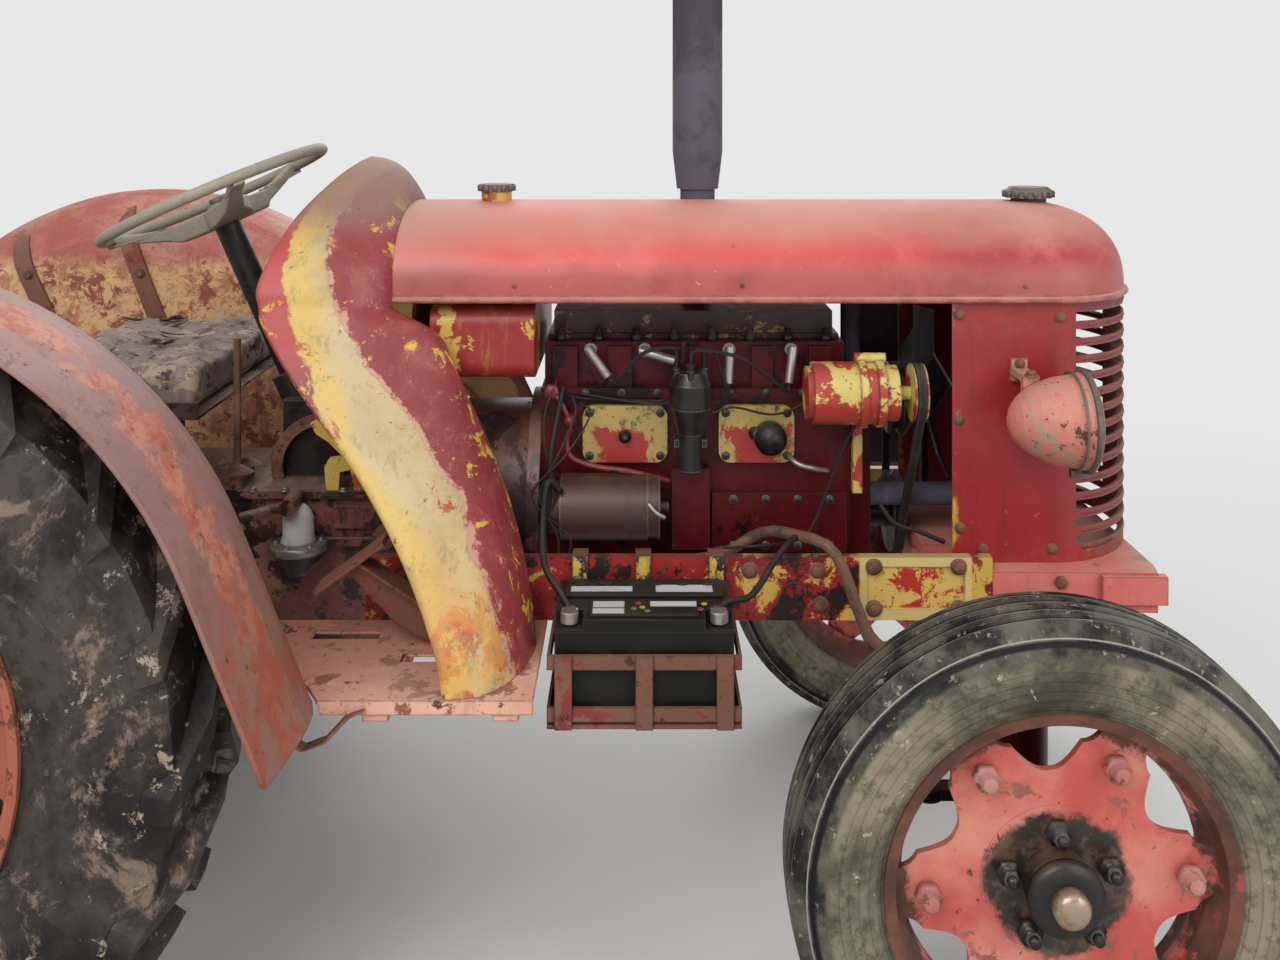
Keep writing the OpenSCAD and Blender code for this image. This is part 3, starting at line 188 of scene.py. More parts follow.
def worn_paint(name, top, light, under, metal, chips=0.6, fade=0.5, rust=0.66, dust=0.35, rough=0.45,
               chip_scale=9.0, dust_and_sheen_colour=DUST, specks=0.66):
    """Old paint in layers: a top coat that fades, chips to an under coat, and rust where that is gone.

    chips, rust and specks are thresholds, so a lower value shows more of them."""
    p = Paint(name)
    wide = p.noise(2.2, 3)
    patches = p.noise(chip_scale, 9, 0.66, 0.25)
    grain = p.noise(60, 4, 0.7)
    p.coat = p.mix(p.step(wide, fade, fade + 0.25), top, light)
    p.lay(light, p.step(grain, 0.45, 0.8), 0.4)
    p.lay(under, p.spots(0.5, 0.68, 1.0, 8, 0.7, 0.2, p.stretched((26, 26, 5))), 0.35)
    chipped = p.step(patches, chips, chips + 0.015)
    p.lay(under, chipped)
    deep = p.noise(chip_scale * 1.3, 10, 0.7, 0.4)
    bare = p.most(p.step(deep, rust, rust + 0.03), p.times(p.edges(), p.step(grain, 0.3, 0.5)))
    bare = p.most(bare, p.spots(specks, specks + 0.015, 55, 8, 0.75))
    p.lay(p.mix(p.noise(35, 6, 0.7), metal, RUST_DARK), bare)
    # A pale film on what faces upwards: dust; on the gearbox's greasy top it also stands as painted highlight
    p.lay(dust_and_sheen_colour, p.times(p.times(p.step(p.up(), 0.1, 1.0), p.spots(0.3, 0.75, 5, 6)), dust))
    shine = p.plus(p.times(bare, 0.4), rough)
    height = p.less(p.times(grain, 0.3), p.times(p.most(chipped, bare), 0.4))
    return p.finish(shine, height, 0.25, 0.0015)


def bare_metal(name, base, stain, metal=0.7, rough=0.5, share=0.5, scale=14.0, film=0.4, bright=0.5):
    """Bare iron or steel with stains and a dry film of dust on what faces upwards."""
    p = Paint(name)
    spots = p.noise(scale, 9, 0.68, 0.3)
    grain = p.noise(90, 4, 0.7)
    stained = p.step(spots, share, share + 0.12)
    p.coat = p.mix(stained, base, stain)
    p.lay(STEEL, p.times(p.edges(), bright))
    p.lay(MUD, p.times(p.times(p.step(p.up(), 0.2, 1.0), film), p.spots(0.3, 0.7, 6, 5)))
    shine = p.plus(p.times(stained, 0.3), rough)
    dull = p.times(p.less(1.0, stained), metal)
    return p.finish(shine, p.plus(p.times(spots, 0.5), p.times(grain, 0.5)), 0.35, 0.0015, metal=dull)


def bonnet_paint():
    """Red gloss, sun-bleached and dusty on the crown and towards the rear, mauve along the lower edge; the
    pale film on the crown is partly dust and partly painted highlight.
    """
    p = Paint("bonnet_red")
    soft = p.wander(0.5, 2.6, 6, 0.62, 0.4)
    fine = p.noise(26, 9, 0.74, 0.2)
    p.coat = p.mix(p.step(p.add(p.x, soft), 0.65, 1.15), "#cc4d48", "#a12f33")
    p.lay("#d9736a", p.spots(0.42, 0.7, 5, 8, 0.7, 0.3), 0.6)
    back = p.step(p.add(p.x, p.mul(soft, 0.6)), 0.22, -0.02)
    p.lay("#bf7668", back, 0.75)
    p.lay("#b9625a", p.step(fine, 0.5, 0.7), 0.35)
    low = p.step(p.add(p.z, p.mul(soft, 0.1)), 1.255, 1.205)
    p.lay(p.mix(p.spots(0.4, 0.65, 8, 7, 0.7), "#a5564e", "#93483f"), low, 0.85)
    specks = p.spots(0.645, 0.66, 48, 8, 0.75)
    p.lay(p.mix(p.spots(0.5, 0.55, 9), "#d9a58c", "#6d3a30"), specks, 0.75)
    bead = p.step(p.add(p.z, p.mul(p.sub(fine, 0.5), 0.02)), 1.184, 1.179)
    p.lay(p.mix(p.spots(0.45, 0.6, 20, 8, 0.7), "#a8665a", "#7d4a3c"), bead, 0.7)
    # A pale film on what faces upwards: dust, and along the crown also painted highlight
    film = p.times(p.step(p.add(p.up(), soft), 0.45, 1.0), p.spots(0.05, 0.6, 3.3, 6))
    p.lay(p.mix(back, "#c48e7c", "#b08a78"), film, 0.85)
    rough = p.plus(p.times(film, 0.3), 0.42)
    return p.finish(rough, p.less(p.noise(25, 4), p.times(specks, 0.5)), 0.08, 0.002)


def nose_paint():
    """Deeper red on the nose, chipped to yellow by the front casting and along the edges."""
    p = Paint("nose_red")
    p.coat = p.mix(p.spots(0.35, 0.7, 3, 5), "#9c262b", "#84201f")
    p.lay("#a9504a", p.spots(0.5, 0.72, 9, 8, 0.7), 0.5)
    p.lay("#6d2220", p.spots(0.52, 0.66, 1.0, 8, 0.72, 0.2, p.stretched((34, 34, 5))), 0.4)
    low = p.step(p.z, 0.86, 0.7)
    flecks = p.spots(0.62, 0.64, 26, 9, 0.75, 0.3)
    p.lay(OCHRE, p.times(flecks, p.plus(p.times(low, 0.9), 0.05)))
    rear_edge = p.step(p.add(p.x, p.mul(p.noise(14, 8, 0.7), 0.04)), 1.025, 1.015)
    p.lay("#c79c45", p.times(rear_edge, p.spots(0.45, 0.55, 11, 7)))
    front = p.step(p.x, 1.215, 1.27)
    rusty = p.times(front, p.spots(0.3, 0.6, 12, 8, 0.7))
    p.lay("#7d5248", rusty, 0.8)
    p.lay(RUST, p.times(p.edges(), p.spots(0.35, 0.5, 40, 3)))
    rough = p.plus(p.times(rusty, 0.35), 0.36)
    return p.finish(rough, p.less(p.noise(30, 4), p.times(flecks, 0.4)), 0.12, 0.002)


def band_line(p, points):
    """A place along the tractor as a broken line over the height: points is a list of (height, place)."""
    parts = []
    for (a, fa), (b, fb) in zip(points, points[1:]):
        inputs = {"Value": p.z, "From Min": a, "From Max": b, "To Min": 0.0, "To Max": fb - fa}
        parts.append(p.node("MapRange", inputs).outputs["Result"])
    return reduce(p.add, [*parts, points[0][1]])


# Where the yellow band and the front edge lie on the scuttle: height and place along the tractor
BAND_REAR = [(0.61, 0.11), (0.7, 0.085), (0.8, 0.03), (0.95, -0.085), (1.02, -0.125), (1.09, -0.15),
             (1.15, -0.18), (1.2, -0.19), (1.28, -0.2), (1.42, -0.16)]
BAND_FRONT = [(0.61, 0.222), (0.72, 0.195), (0.884, 0.12), (1.018, 0.012), (1.09, -0.05), (1.15, -0.088),
              (1.2, -0.11), (1.28, -0.138), (1.33, -0.125), (1.42, -0.05)]
SCUTTLE_EDGE = [(0.61, 0.251), (0.675, 0.243), (0.79, 0.215), (0.905, 0.172), (1.03, 0.112), (1.11, 0.07),
                (1.17, -0.02), (1.42, -0.022)]


def cowl_paint():
    """Dusty maroon with a broad worn cream band down the scuttle's side and brown at its crown."""
    p = Paint("scuttle_red_cream")
    fine = p.noise(20, 10, 0.78, 0.4)
    red = p.mix(p.spots(0.35, 0.7, 3.5, 6), "#93373a", "#7d2c2c")
    red = p.over(red, "#a35a55", p.spots(0.48, 0.68, 9, 8, 0.7, 0.4), 0.65)
    red = p.over(red, "#b57a6c", p.spots(0.55, 0.63, 34, 9, 0.8, 0.3), 0.5)
    wobble = p.wander(0.07, 9, 10, 0.76, 0.3)
    from_rear = p.add(p.sub(p.x, band_line(p, BAND_REAR)), wobble)
    to_front = p.add(p.sub(band_line(p, BAND_FRONT), p.x), wobble)
    to_edge = p.sub(band_line(p, SCUTTLE_EDGE), p.x)
    bright = p.times(p.step(from_rear, 0.012, -0.006), p.step(p.z, 1.04, 1.12))
    red = p.over(red, "#b5403c", bright, 0.8)
    band = p.times(p.step(from_rear, -0.002, 0.004), p.step(to_front, -0.002, 0.004))
    cream = p.mix(p.spots(0.4, 0.64, 6, 8, 0.65, 0.5), "#c4ad80", "#b09a6a")
    gold = p.times(p.step(p.add(from_rear, p.mul(wobble, 1.2)), 0.072, 0.028), 0.8)
    cream = p.over(cream, "#d2ae4c", p.times(gold, p.spots(0.36, 0.5, 5, 9, 0.7, 0.6)))
    cream = p.over(cream, "#a38d62", p.spots(0.5, 0.66, 14, 10, 0.76, 0.6), 0.5)
    lower = p.mul(p.step(p.z, 0.86, 0.64), 0.085)
    bare = p.add(p.noise(13, 10, 0.8, 0.5), p.add(lower, p.mul(p.step(from_rear, 0.05, 0.0), 0.02)))
    cream = p.over(cream, p.mix(p.spots(0.42, 0.55, 30, 5), "#b23c2c", "#a86a35"),
                   p.step(bare, 0.595, 0.61))
    foot = p.times(p.step(p.z, 0.88, 0.7), p.spots(0.4, 0.55, 8, 8, 0.7, 0.3))
    cream = p.over(cream, "#cf9a4a", foot, 0.7)
    grime = p.spots(0.54, 0.62, 26, 10, 0.8, 0.3, p.stretched((1, 1, 0.55)))
    cream = p.over(cream, "#8d7a52", grime, 0.55)
    p.coat = p.over(red, cream, band)
    border = p.abs(p.add(to_front, 0.003))
    p.lay("#c4917a", p.times(p.step(border, 0.006, 0.002), p.step(fine, 0.42, 0.5)))
    near_edge = p.add(p.mul(p.step(to_edge, 0.05, 0.004), 0.05), p.mul(p.step(p.z, 0.95, 1.2), 0.015))
    outside = p.less(1.0, band)
    chips = p.times(p.step(p.add(p.noise(17, 10, 0.76, 0.5), near_edge), 0.615, 0.623), outside)
    p.lay("#cfa945", chips)
    crown = p.step(p.add(p.z, p.mul(wobble, 0.9)), 1.265, 1.345)
    p.lay(p.mix(p.noise(8, 7), "#967266", "#7b5a50"), crown, 0.88)
    p.lay(p.mix(p.noise(40), RUST, RUST_DARK), p.spots(0.635, 0.65, 60, 8, 0.75))
    p.lay("#6d4438", p.times(p.edges(), p.spots(0.3, 0.5, 30, 3)))
    rough = p.plus(p.times(crown, 0.2), 0.45)
    return p.finish(rough, p.less(p.noise(30, 5), p.times(chips, -0.3)), 0.16, 0.002)


def rail_paint():
    """Black and red under worn yellow on the cast rails; the framed panel keeps most of its yellow."""
    p = Paint("rail_red_yellow_black")
    ragged = p.noise(11, 10, 0.74, 0.4)
    fine = p.noise(26, 9, 0.76, 0.4)
    red = p.mix(p.spots(0.4, 0.65, 5, 5), "#9c2424", "#7a191c")
    p.coat = p.mix(p.step(ragged, 0.46, 0.475), "#1f1716", red)
    p.lay("#c9a349", p.step(p.add(ragged, p.mul(p.step(p.x, 0.5, 0.8), 0.06)), 0.575, 0.585))
    inside = p.times(p.step(p.x, 0.812, 0.818), p.step(p.x, 1.016, 1.01))
    panel = p.mix(p.step(p.add(fine, p.mul(ragged, 0.5)), 0.735, 0.75), "#b03026", "#d2b060")
    p.lay(panel, inside)
    rim = p.most(p.step(p.z, 0.7, 0.706), p.step(p.z, 0.634, 0.628))
    rim = p.most(rim, p.most(p.step(p.x, 0.832, 0.826), p.step(p.x, 0.998, 1.004)))
    rim = p.times(p.times(rim, inside), p.step(fine, 0.6, 0.58))
    p.lay("#d0b878", rim)
    rust = p.spots(0.63, 0.645, 18, 9, 0.75, 0.3)
    p.lay(RUST_DARK, rust)
    p.lay(MUD, p.times(p.step(p.up(), 0.3, 1.0), 0.35))
    return p.finish(p.plus(p.times(rust, 0.3), 0.42), p.less(p.noise(40, 5), p.times(rust, 0.5)), 0.25, 0.002)


# Middles of the two engine covers along the tractor
COVER_MIDDLES = (0.398, 0.6435)


def cover_paint():
    """Pale yellow covers rubbed through to red round the middle nut and below it."""
    p = Paint("cover_yellow_red")
    ragged = p.noise(18, 10, 0.76, 0.4)
    sideways = p.arithmetic("MINIMUM", *(p.abs(p.sub(p.x, middle)) for middle in COVER_MIDDLES))
    low = p.sub(p.z, 0.885)
    reach = p.add(p.arithmetic("MAXIMUM", sideways, p.mul(low, 1.5)), p.mul(p.sub(ragged, 0.5), 0.16))
    yellow = p.mix(p.noise(9, 6), "#b8a05c", "#9c8145")
    yellow = p.over(yellow, "#6d5530", p.spots(0.53, 0.6, 40, 9, 0.78))
    p.coat = p.over(yellow, "#9a2a22", p.step(reach, 0.052, 0.044))
    p.lay(p.mix(p.step(ragged, 0.56, 0.58), "#3a1413", "#a58a4c"), p.step(p.z, 1.0, 1.01))
    rust = p.spots(0.6, 0.615, 30, 9, 0.75, 0.3)
    p.lay("#4a2c22", rust)
    return p.finish(0.42, p.less(p.noise(30, 5), p.times(rust, 0.5)), 0.2, 0.0015)


def from_axle(p, x, z):
    """Distance from a wheel's axle."""
    dx = p.sub(p.x, x)
    dz = p.sub(p.z, z)
    return p.arithmetic("SQRT", p.add(p.mul(dx, dx), p.mul(dz, dz)))


def front_wheel_paint():
    """Red spider going pink, with black grease round the hub and a brown rusty rim."""
    p = Paint("wheel_red_rust")
    r = from_axle(p, FRONT_X, FRONT_Z)
    ragged = p.wander(0.12, 13, 9, 0.72, 0.3)
    p.coat = p.mix(p.spots(0.38, 0.66, 6, 7), "#bb4c43", "#cf8270")
    p.lay("#8d5646", p.spots(0.575, 0.59, 17, 9, 0.75, 0.4))
    p.lay("#4c332a", p.spots(0.62, 0.635, 30, 9, 0.75, 0.4))
    rim = p.step(p.add(r, ragged), 0.214, 0.226)
    rusty = p.mix(p.spots(0.4, 0.62, 12, 9, 0.7), "#472b1f", "#6d3f2d")
    rusty = p.over(rusty, "#94413a", p.spots(0.58, 0.62, 9, 8, 0.7))
    p.lay(rusty, rim)
    greasy = p.step(p.add(r, p.mul(ragged, 0.7)), 0.112, 0.098)
    grease = p.mix(p.spots(0.45, 0.6, 30, 8, 0.7), "#2a201a", "#5c4636")
    p.lay(grease, greasy)
    p.lay("#7a5743", p.times(p.step(p.up(), 0.2, 0.9), 0.35))
    return p.finish(p.plus(p.times(rim, 0.25), 0.45), p.plus(p.times(p.noise(35, 7, 0.7), 0.6),
                                                             p.times(greasy, 0.4)), 0.3, 0.002)


def front_tyre_rubber():
    """Black ribbed tread with painted highlight streaks along the ribs' edges and painted shade in the
    grooves; an olive-grey dusty sidewall with fine rings.
    """
    p = Paint("front_tyre_rubber")
    r = from_axle(p, FRONT_X, FRONT_Z)
    smudge = p.noise(4.5, 9, 0.7, 0.3)
    fine = p.noise(40, 8, 0.75)
    side = p.mix(p.step(smudge, 0.34, 0.62), "#474236", "#8d8470")
    side = p.over(side, "#403b30", p.step(fine, 0.5, 0.62), 0.6)
    side = p.over(side, "#b1a488", p.spots(0.62, 0.64, 23, 9, 0.75, 0.4))
    tread = p.mix(p.spots(0.38, 0.6, 9, 8, 0.7), "#1d1c1a", "#635e51")
    tread = p.over(tread, "#8b857a", p.spots(0.6, 0.64, 60, 6, 0.7))
    outer = p.step(p.add(r, p.mul(p.sub(smudge, 0.5), 0.02)), 0.338, 0.346)
    p.coat = p.over(side, tread, outer)
    rings = p.arithmetic("SINE", p.mul(r, 430))
    ringed = p.times(p.step(rings, 0.8, 0.99), p.step(r, 0.335, 0.325))
    p.lay("#2b2822", ringed, 0.22)
    ribs = p.arithmetic("COSINE", p.mul(p.sub(p.abs(p.y), FRONT_Y), 210))
    # Near-black in the grooves between the ribs: painted shade
    groove = p.times(p.step(ribs, -0.55, -0.8), p.step(r, 0.355, 0.36))
    p.lay("#0f0f0f", groove)
    # Pale streaks along the ribs' edges: painted highlight
    p.lay("#a8a396", p.times(p.step(p.abs(p.add(ribs, 0.35)), 0.16, 0.04), outer), 0.75)
    height = p.less(p.plus(p.times(fine, 0.25), 0.5), p.most(p.times(ringed, 0.2), p.times(groove, 0.5)))
    return p.finish(p.sub(0.82, p.times(outer, 0.3)), height, 0.8, 0.004)


def rear_tyre_rubber():
    """Dusty black lugs over a bare, cracked casing with dried mud between the lugs."""
    p = Paint("rear_tyre_rubber")
    r = from_axle(p, REAR_X, REAR_Z)
    smudge = p.noise(4, 9, 0.7, 0.3)
    fine = p.noise(45, 8, 0.75)
    p.coat = p.mix(p.step(smudge, 0.38, 0.6), "#1c1a19", "#4a433c")
    p.lay("#857263", p.spots(0.52, 0.6, 7, 10, 0.76, 0.5), 0.85)
    p.lay("#a08f7c", p.spots(0.6, 0.62, 20, 9, 0.75, 0.3))
    p.lay("#221f1d", p.step(fine, 0.5, 0.6), 0.5)
    p.lay("#38342f", p.times(p.step(r, 0.612, 0.622), p.spots(0.4, 0.5, 12, 6)))
    dull = p.plus(p.times(p.step(smudge, 0.4, 0.6), 0.25), 0.5)
    return p.finish(dull, p.plus(p.times(fine, 0.5), p.times(smudge, 0.4)), 0.55, 0.004)


def near_guard_paint():
    """Mauve-brown with an orange-red worn streak down the crown line and rust at the tip."""
    p = Paint("guard_mauve_brown")
    p.coat = p.mix(p.spots(0.38, 0.64, 3, 6), "#8a6660", "#9c756c")
    p.lay("#7a5149", p.spots(0.48, 0.66, 14, 9, 0.72), 0.6)
    ragged = p.wander(0.26, 7, 10, 0.76, 0.3)
    crown = p.abs(p.add(p.sub(p.abs(p.y), 0.742), ragged))
    near_top = p.step(crown, 0.04, 0.028)
    streak = p.mix(p.spots(0.45, 0.55, 20, 8, 0.7), "#ad5540", "#c07a62")
    p.lay(streak, p.times(near_top, p.spots(0.4, 0.5, 16, 9, 0.78, 0.4)), 0.85)
    p.lay("#5f443d", p.spots(0.57, 0.61, 24, 10, 0.8, 0.4), 0.6)
    low = p.step(p.add(p.z, p.mul(ragged, 1.2)), 0.9, 0.7)
    p.lay(p.mix(p.spots(0.46, 0.54, 12, 9, 0.74), "#9c4a36", "#8a6553"), low, 0.75)
    specks = p.spots(0.62, 0.635, 50, 8, 0.75)
    p.lay("#5d3a30", specks)
    p.lay("#5b3d34", p.times(p.edges(), 0.7))
    return p.finish(0.55, p.less(p.noise(40, 6), p.times(specks, 0.4)), 0.2, 0.0015)


def far_guard_paint():
    """Yellow worn to rust on the inner side, red along the crown."""
    p = Paint("guard_yellow_rust")
    ragged = p.noise(8, 10, 0.76, 0.4)
    p.coat = p.mix(p.step(ragged, 0.44, 0.48), "#b87a5c", "#d3a878")
    p.lay("#8e4a39", p.spots(0.55, 0.565, 15, 10, 0.76, 0.4))
    p.lay("#d9b868", p.spots(0.585, 0.6, 10, 10, 0.76, 0.5))
    high = p.step(p.add(p.z, p.mul(ragged, 0.16)), 1.21, 1.25)
    red = p.mix(p.spots(0.4, 0.6, 6, 7), "#a85349", "#b97a6a")
    p.lay(red, high)
    p.lay("#94563e", p.times(p.spots(0.5, 0.58, 45, 10, 0.8, 0.3), 0.6))
    specks = p.spots(0.61, 0.625, 50, 8, 0.75)
    p.lay("#54332a", specks)
    return p.finish(0.6, p.less(p.noise(40, 6), p.times(specks, 0.4)), 0.25, 0.0015)


def lever_paint():
    """Rusty levers and strap; the hooked bracket behind the scuttle keeps worn yellow paint."""
    p = Paint("levers_rust_yellow")
    rust = p.mix(p.spots(0.42, 0.6, 16, 8, 0.7), "#6b4535", "#8a6450")
    rust = p.over(rust, "#3d2a22", p.spots(0.58, 0.62, 40, 8, 0.75))
    yellow = p.mix(p.spots(0.53, 0.55, 13, 9, 0.75, 0.4), "#d3b458", "#a8452c")
    yellow = p.over(yellow, "#4a2f22", p.spots(0.6, 0.62, 30, 9, 0.75, 0.4))
    bracket = p.times(p.step(p.y, -0.128, -0.132), p.step(p.x, -0.215, -0.21))
    p.coat = p.over(rust, yellow, bracket)
    return p.finish(0.6, p.noise(45, 7, 0.7), 0.3, 0.0015)


def glass_material():
    p = Paint("lamp_glass")
    p.shader.inputs["Transmission Weight"].default_value = 0.85
    p.shader.inputs["IOR"].default_value = 1.5
    p.coat = p.mix(p.spots(0.4, 0.7, 12, 6), "#d6dad6", "#a9a596")
    return p.finish(p.plus(p.times(p.noise(20, 5), 0.25), 0.12), p.noise(50), 0.1)


# What worn_paint takes, from the name to the specks
WORN = {
    "casting": ("casting_red", "#cc655d", "#d48a7e", "#9a5249", RUST, 0.62, 0.4, 0.64, 0.8, 0.55, 11,
                "#c79a86", 0.64),
    "engine": ("engine_dark_red", "#4a0c10", "#6a1418", "#1e0b0c", GREASE, 0.56, 0.52, 0.6, 0.2, 0.36, 8,
               "#4a3830", 0.62),
    "dynamo": ("dynamo_yellow_red", CREAM, OCHRE, "#a6362a", RUST_DARK, 0.49, 0.5, 0.62, 0.2, 0.42, 14),
    "tank": ("tank_red_yellow", "#8e2420", "#a8403a", "#c9a04c", RUST_DARK, 0.535, 0.5, 0.66, 0.2, 0.42, 9),
    # The gearbox's strong pale top film is partly painted highlight on the grease
    "gearbox": ("gearbox_greasy", "#6d3a33", "#a07a68", "#281a16", "#2c1e19", 0.5, 0.46, 0.55, 0.8, 0.42, 8,
                "#9a8070", 0.6),
    "cradle": ("cradle_brown_red", "#6f4634", "#83553f", "#7d3026", "#42291f", 0.57, 0.4, 0.6, 0.5, 0.6, 14,
               "#8a6b58", 0.6),
    "grey": ("chalky_grey", "#8c8474", "#a59c8a", "#6d6254", RUST_DARK, 0.66, 0.5, 0.72, 0.2, 0.6, 16),
    "pink": ("bleached_red", "#c87a6a", "#d49c86", "#a58c76", "#6b3f30", 0.57, 0.42, 0.6, 0.6, 0.55, 14,
             "#b89482", 0.605),
    # The footplate's colours are lighter than its paint: painted light where the mudguard shades it
    "footplate": ("footplate_pink_rust", "#d08a74", "#dcaa92", "#8e5746", "#5a3a2f", 0.56, 0.4, 0.62, 0.7,
                  0.6, 9, "#c9a08a", 0.61),
    "rear_wheel": ("wheel_rust_orange", "#9a4a30", "#a8604a", "#6b3626", RUST_DARK, 0.55, 0.4, 0.62, 0.4,
                   0.65, 10),
    "vinyl": ("torn_vinyl", "#6d5c56", "#96837a", "#a58c78", "#33271f", 0.55, 0.42, 0.57, 0.6, 0.7, 14,
              "#94806f", 0.58),
    "wheel_nuts": ("nut_pink_rust", "#a8524b", "#b9857a", "#6c4a3f", STEEL, 0.58, 0.4, 0.62, 0.4, 0.5, 30),
    "hanger": ("hanger_yellow_black", "#c9a54c", "#b8903c", "#221a17", RUST_DARK, 0.5, 0.5, 0.6, 0.3, 0.5,
               26),
    "red_pipe": ("pipe_dark_red", "#6d1719", "#8b2724", "#3a1012", GREASE, 0.6, 0.5, 0.66, 0.2, 0.4, 20),
    "nose_bars": ("nose_bar_rust", "#74302e", "#874a43", "#4f352e", RUST_DARK, 0.55, 0.4, 0.6, 0.5, 0.6, 22,
                  "#8a6a5e"),
}

# What bare_metal takes, from the name to the bright edges
BARE = {
    "starter": ("starter_brown", "#4a3028", "#332420", 0.3, 0.42, 0.5, 7, 0.3),
    "greasy": ("greasy_iron", IRON, GREASE, 0.5, 0.36, 0.45, 12, 0.5),
    "drag": ("drag_link_brown", "#6d4b39", "#47322a", 0.1, 0.6, 0.5, 18, 0.1, 0.15),
    "rusty": ("rusty_steel", "#7d4f3c", "#563a2f", 0.1, 0.7, 0.5, 16, 0.4, 0.2),
    "steel": ("worn_steel", "#9c968e", "#6a5548", 0.7, 0.38, 0.55, 20, 0.2),
    "soot": ("soot_black", "#5a5762", "#4b454c", 0.1, 0.7, 0.5, 5, 0.1, 0.2),
    "cap_grey": ("cap_grey", "#6d655c", "#4d4036", 0.3, 0.6, 0.5, 22, 0.5),
    "plastic": ("black_plastic", "#15140f", "#201e1a", 0.0, 0.42, 0.5, 8, 0.2, 0.1),
    "rubber": ("lead_black", "#1c1a19", "#2c2622", 0.0, 0.55, 0.55, 15, 0.3, 0.1),
    "belt": ("belt_black", "#2a2725", "#3f3833", 0.0, 0.75, 0.5, 15, 0.3, 0.2),
    "axle_end": ("bright_axle_end", "#a6937f", "#8d6b50", 0.7, 0.35, 0.5, 30, 0.0),
    "white_cap": ("pale_cap", "#c9c8c2", "#a3a097", 0.0, 0.55, 0.55, 30, 0.1),
    "label": ("blank_label", "#c9cac8", "#a9a8a2", 0.0, 0.5, 0.6, 18, 0.15),
    "dot_red": ("dot_red", "#a32018", "#5a4a3a", 0.0, 0.45, 0.75, 40, 0.1),
    "dot_green": ("dot_green", "#3f8a3a", "#5a4a3a", 0.0, 0.45, 0.75, 40, 0.1),
    "dot_yellow": ("dot_yellow", "#c9a52a", "#5a4a3a", 0.0, 0.45, 0.75, 40, 0.1),
    "band_grey": ("band_grey", "#6f6259", "#5c4035", 0.5, 0.5, 0.5, 20, 0.2),
}

MATERIALS = {key: worn_paint(*row) for key, row in WORN.items()}
MATERIALS.update({key: bare_metal(*row) for key, row in BARE.items()})
MATERIALS.update(bonnet=bonnet_paint(), nose=nose_paint(), cowl=cowl_paint(), rails=rail_paint(),
                 covers=cover_paint(), levers=lever_paint(), brown=near_guard_paint(),
                 far_guard=far_guard_paint(), front_tyre=front_tyre_rubber(), rear_tyre=rear_tyre_rubber(),
                 wheel=front_wheel_paint(), glass=glass_material())

# Rubber, plastic and oily paint give back less light than clean gloss
for word in ("plastic", "rubber", "belt", "engine", "front_tyre", "rear_tyre", "soot"):
    MATERIALS[word].node_tree.nodes["Principled BSDF"].inputs["Specular IOR Level"].default_value = 0.2

NODE_MATERIALS = {
    "rails": "side_rails", "casting": "front_casting",
    "gearbox": "gearbox rear_axle_housing instrument_panel seat_frame", "engine": "engine_block front_axle",
    "covers": "engine_covers", "starter": "starter_motor", "dynamo": "dynamo",
    "greasy": "distributor fan_drive steering_column drop_arm knuckle_left knuckle_right",
    "steel": "spark_plugs", "rubber": "wiring", "belt": "fan_belt", "soot": "radiator exhaust_stack",
    "rusty": "manifold track_rod drawbar", "tank": "fuel_tank", "bonnet": "bonnet", "nose": "nose_grille",
    "cap_grey": "filler_caps", "pink": "headlamps", "glass": "headlamp_glasses", "cowl": "cowl",
    "drag": "drag_link", "grey": "steering_wheel", "footplate": "footplates",
    "cradle": "pedals battery_cradle", "levers": "levers", "vinyl": "seat_cushion",
    "far_guard": "mudguard_left", "brown": "mudguard_right", "plastic": "battery",
    "front_tyre": "front_tyre_left front_tyre_right", "wheel": "front_wheel_left front_wheel_right",
    "rear_tyre": "rear_tyre_left rear_tyre_right", "rear_wheel": "rear_wheel_left rear_wheel_right",
}
for finish, names in NODE_MATERIALS.items():
    for name in names.split():
        NODES[name].data.materials.clear()
        NODES[name].data.materials.append(MATERIALS[finish])


# Camera, light and floor

CAMERA_PLACE = Vector((0.426, -2.562, 1.521))
SENSOR_MM, LENS_MM, SHIFT_Y = 36, 36.1, -0.292
BACKDROP = (0.80, 0.805, 0.80, 1)
SKY, SKY_STRENGTH = (0.93, 0.96, 1.0, 1), 0.62
# Name, place, size and power of each lamp
LAMPS = (("key", (-1.5, -4.5, 4.6), 3.2, 190), ("fill", (3.8, -3.2, 2.6), 3.0, 70),
         ("back", (0.5, 4.5, 4.0), 4.0, 120))
LAMP_AIM = Vector((0.2, 0, 0.8))


def add_to_scene(name, data):
    obj = bpy.data.objects.new(name, data)
    bpy.context.scene.collection.objects.link(obj)
    return obj


def build_camera():
    data = bpy.data.cameras.new("camera")
    data.sensor_width, data.lens, data.shift_y = SENSOR_MM, LENS_MM, SHIFT_Y
    camera = add_to_scene("camera", data)
    camera.matrix_world = Matrix.Translation(CAMERA_PLACE) @ Matrix.Rotation(pi / 2, 4, "X")
    bpy.context.scene.camera = camera


def build_light():
    world = bpy.data.worlds.new("studio")
    world.use_nodes = True
    nodes = Nodes(world.node_tree)
    light = nodes.tree.nodes["Background"]
    light.inputs[0].default_value = SKY
    light.inputs[1].default_value = SKY_STRENGTH
    backdrop = nodes.node("Background", {0: BACKDROP})
    choose = nodes.node("MixShader", {0: nodes.seen(), 1: light.outputs[0], 2: backdrop.outputs[0]})
    nodes.link(choose.outputs[0], nodes.tree.nodes["World Output"].inputs[0])
    bpy.context.scene.world = world
    for name, spot, size, power in LAMPS:
        data = bpy.data.lights.new(name, "AREA")
        data.size, data.energy = size, power
        lamp = add_to_scene(name, data)
        lamp.location = spot
        lamp.rotation_euler = (LAMP_AIM - Vector(spot)).to_track_quat("-Z", "Y").to_euler()


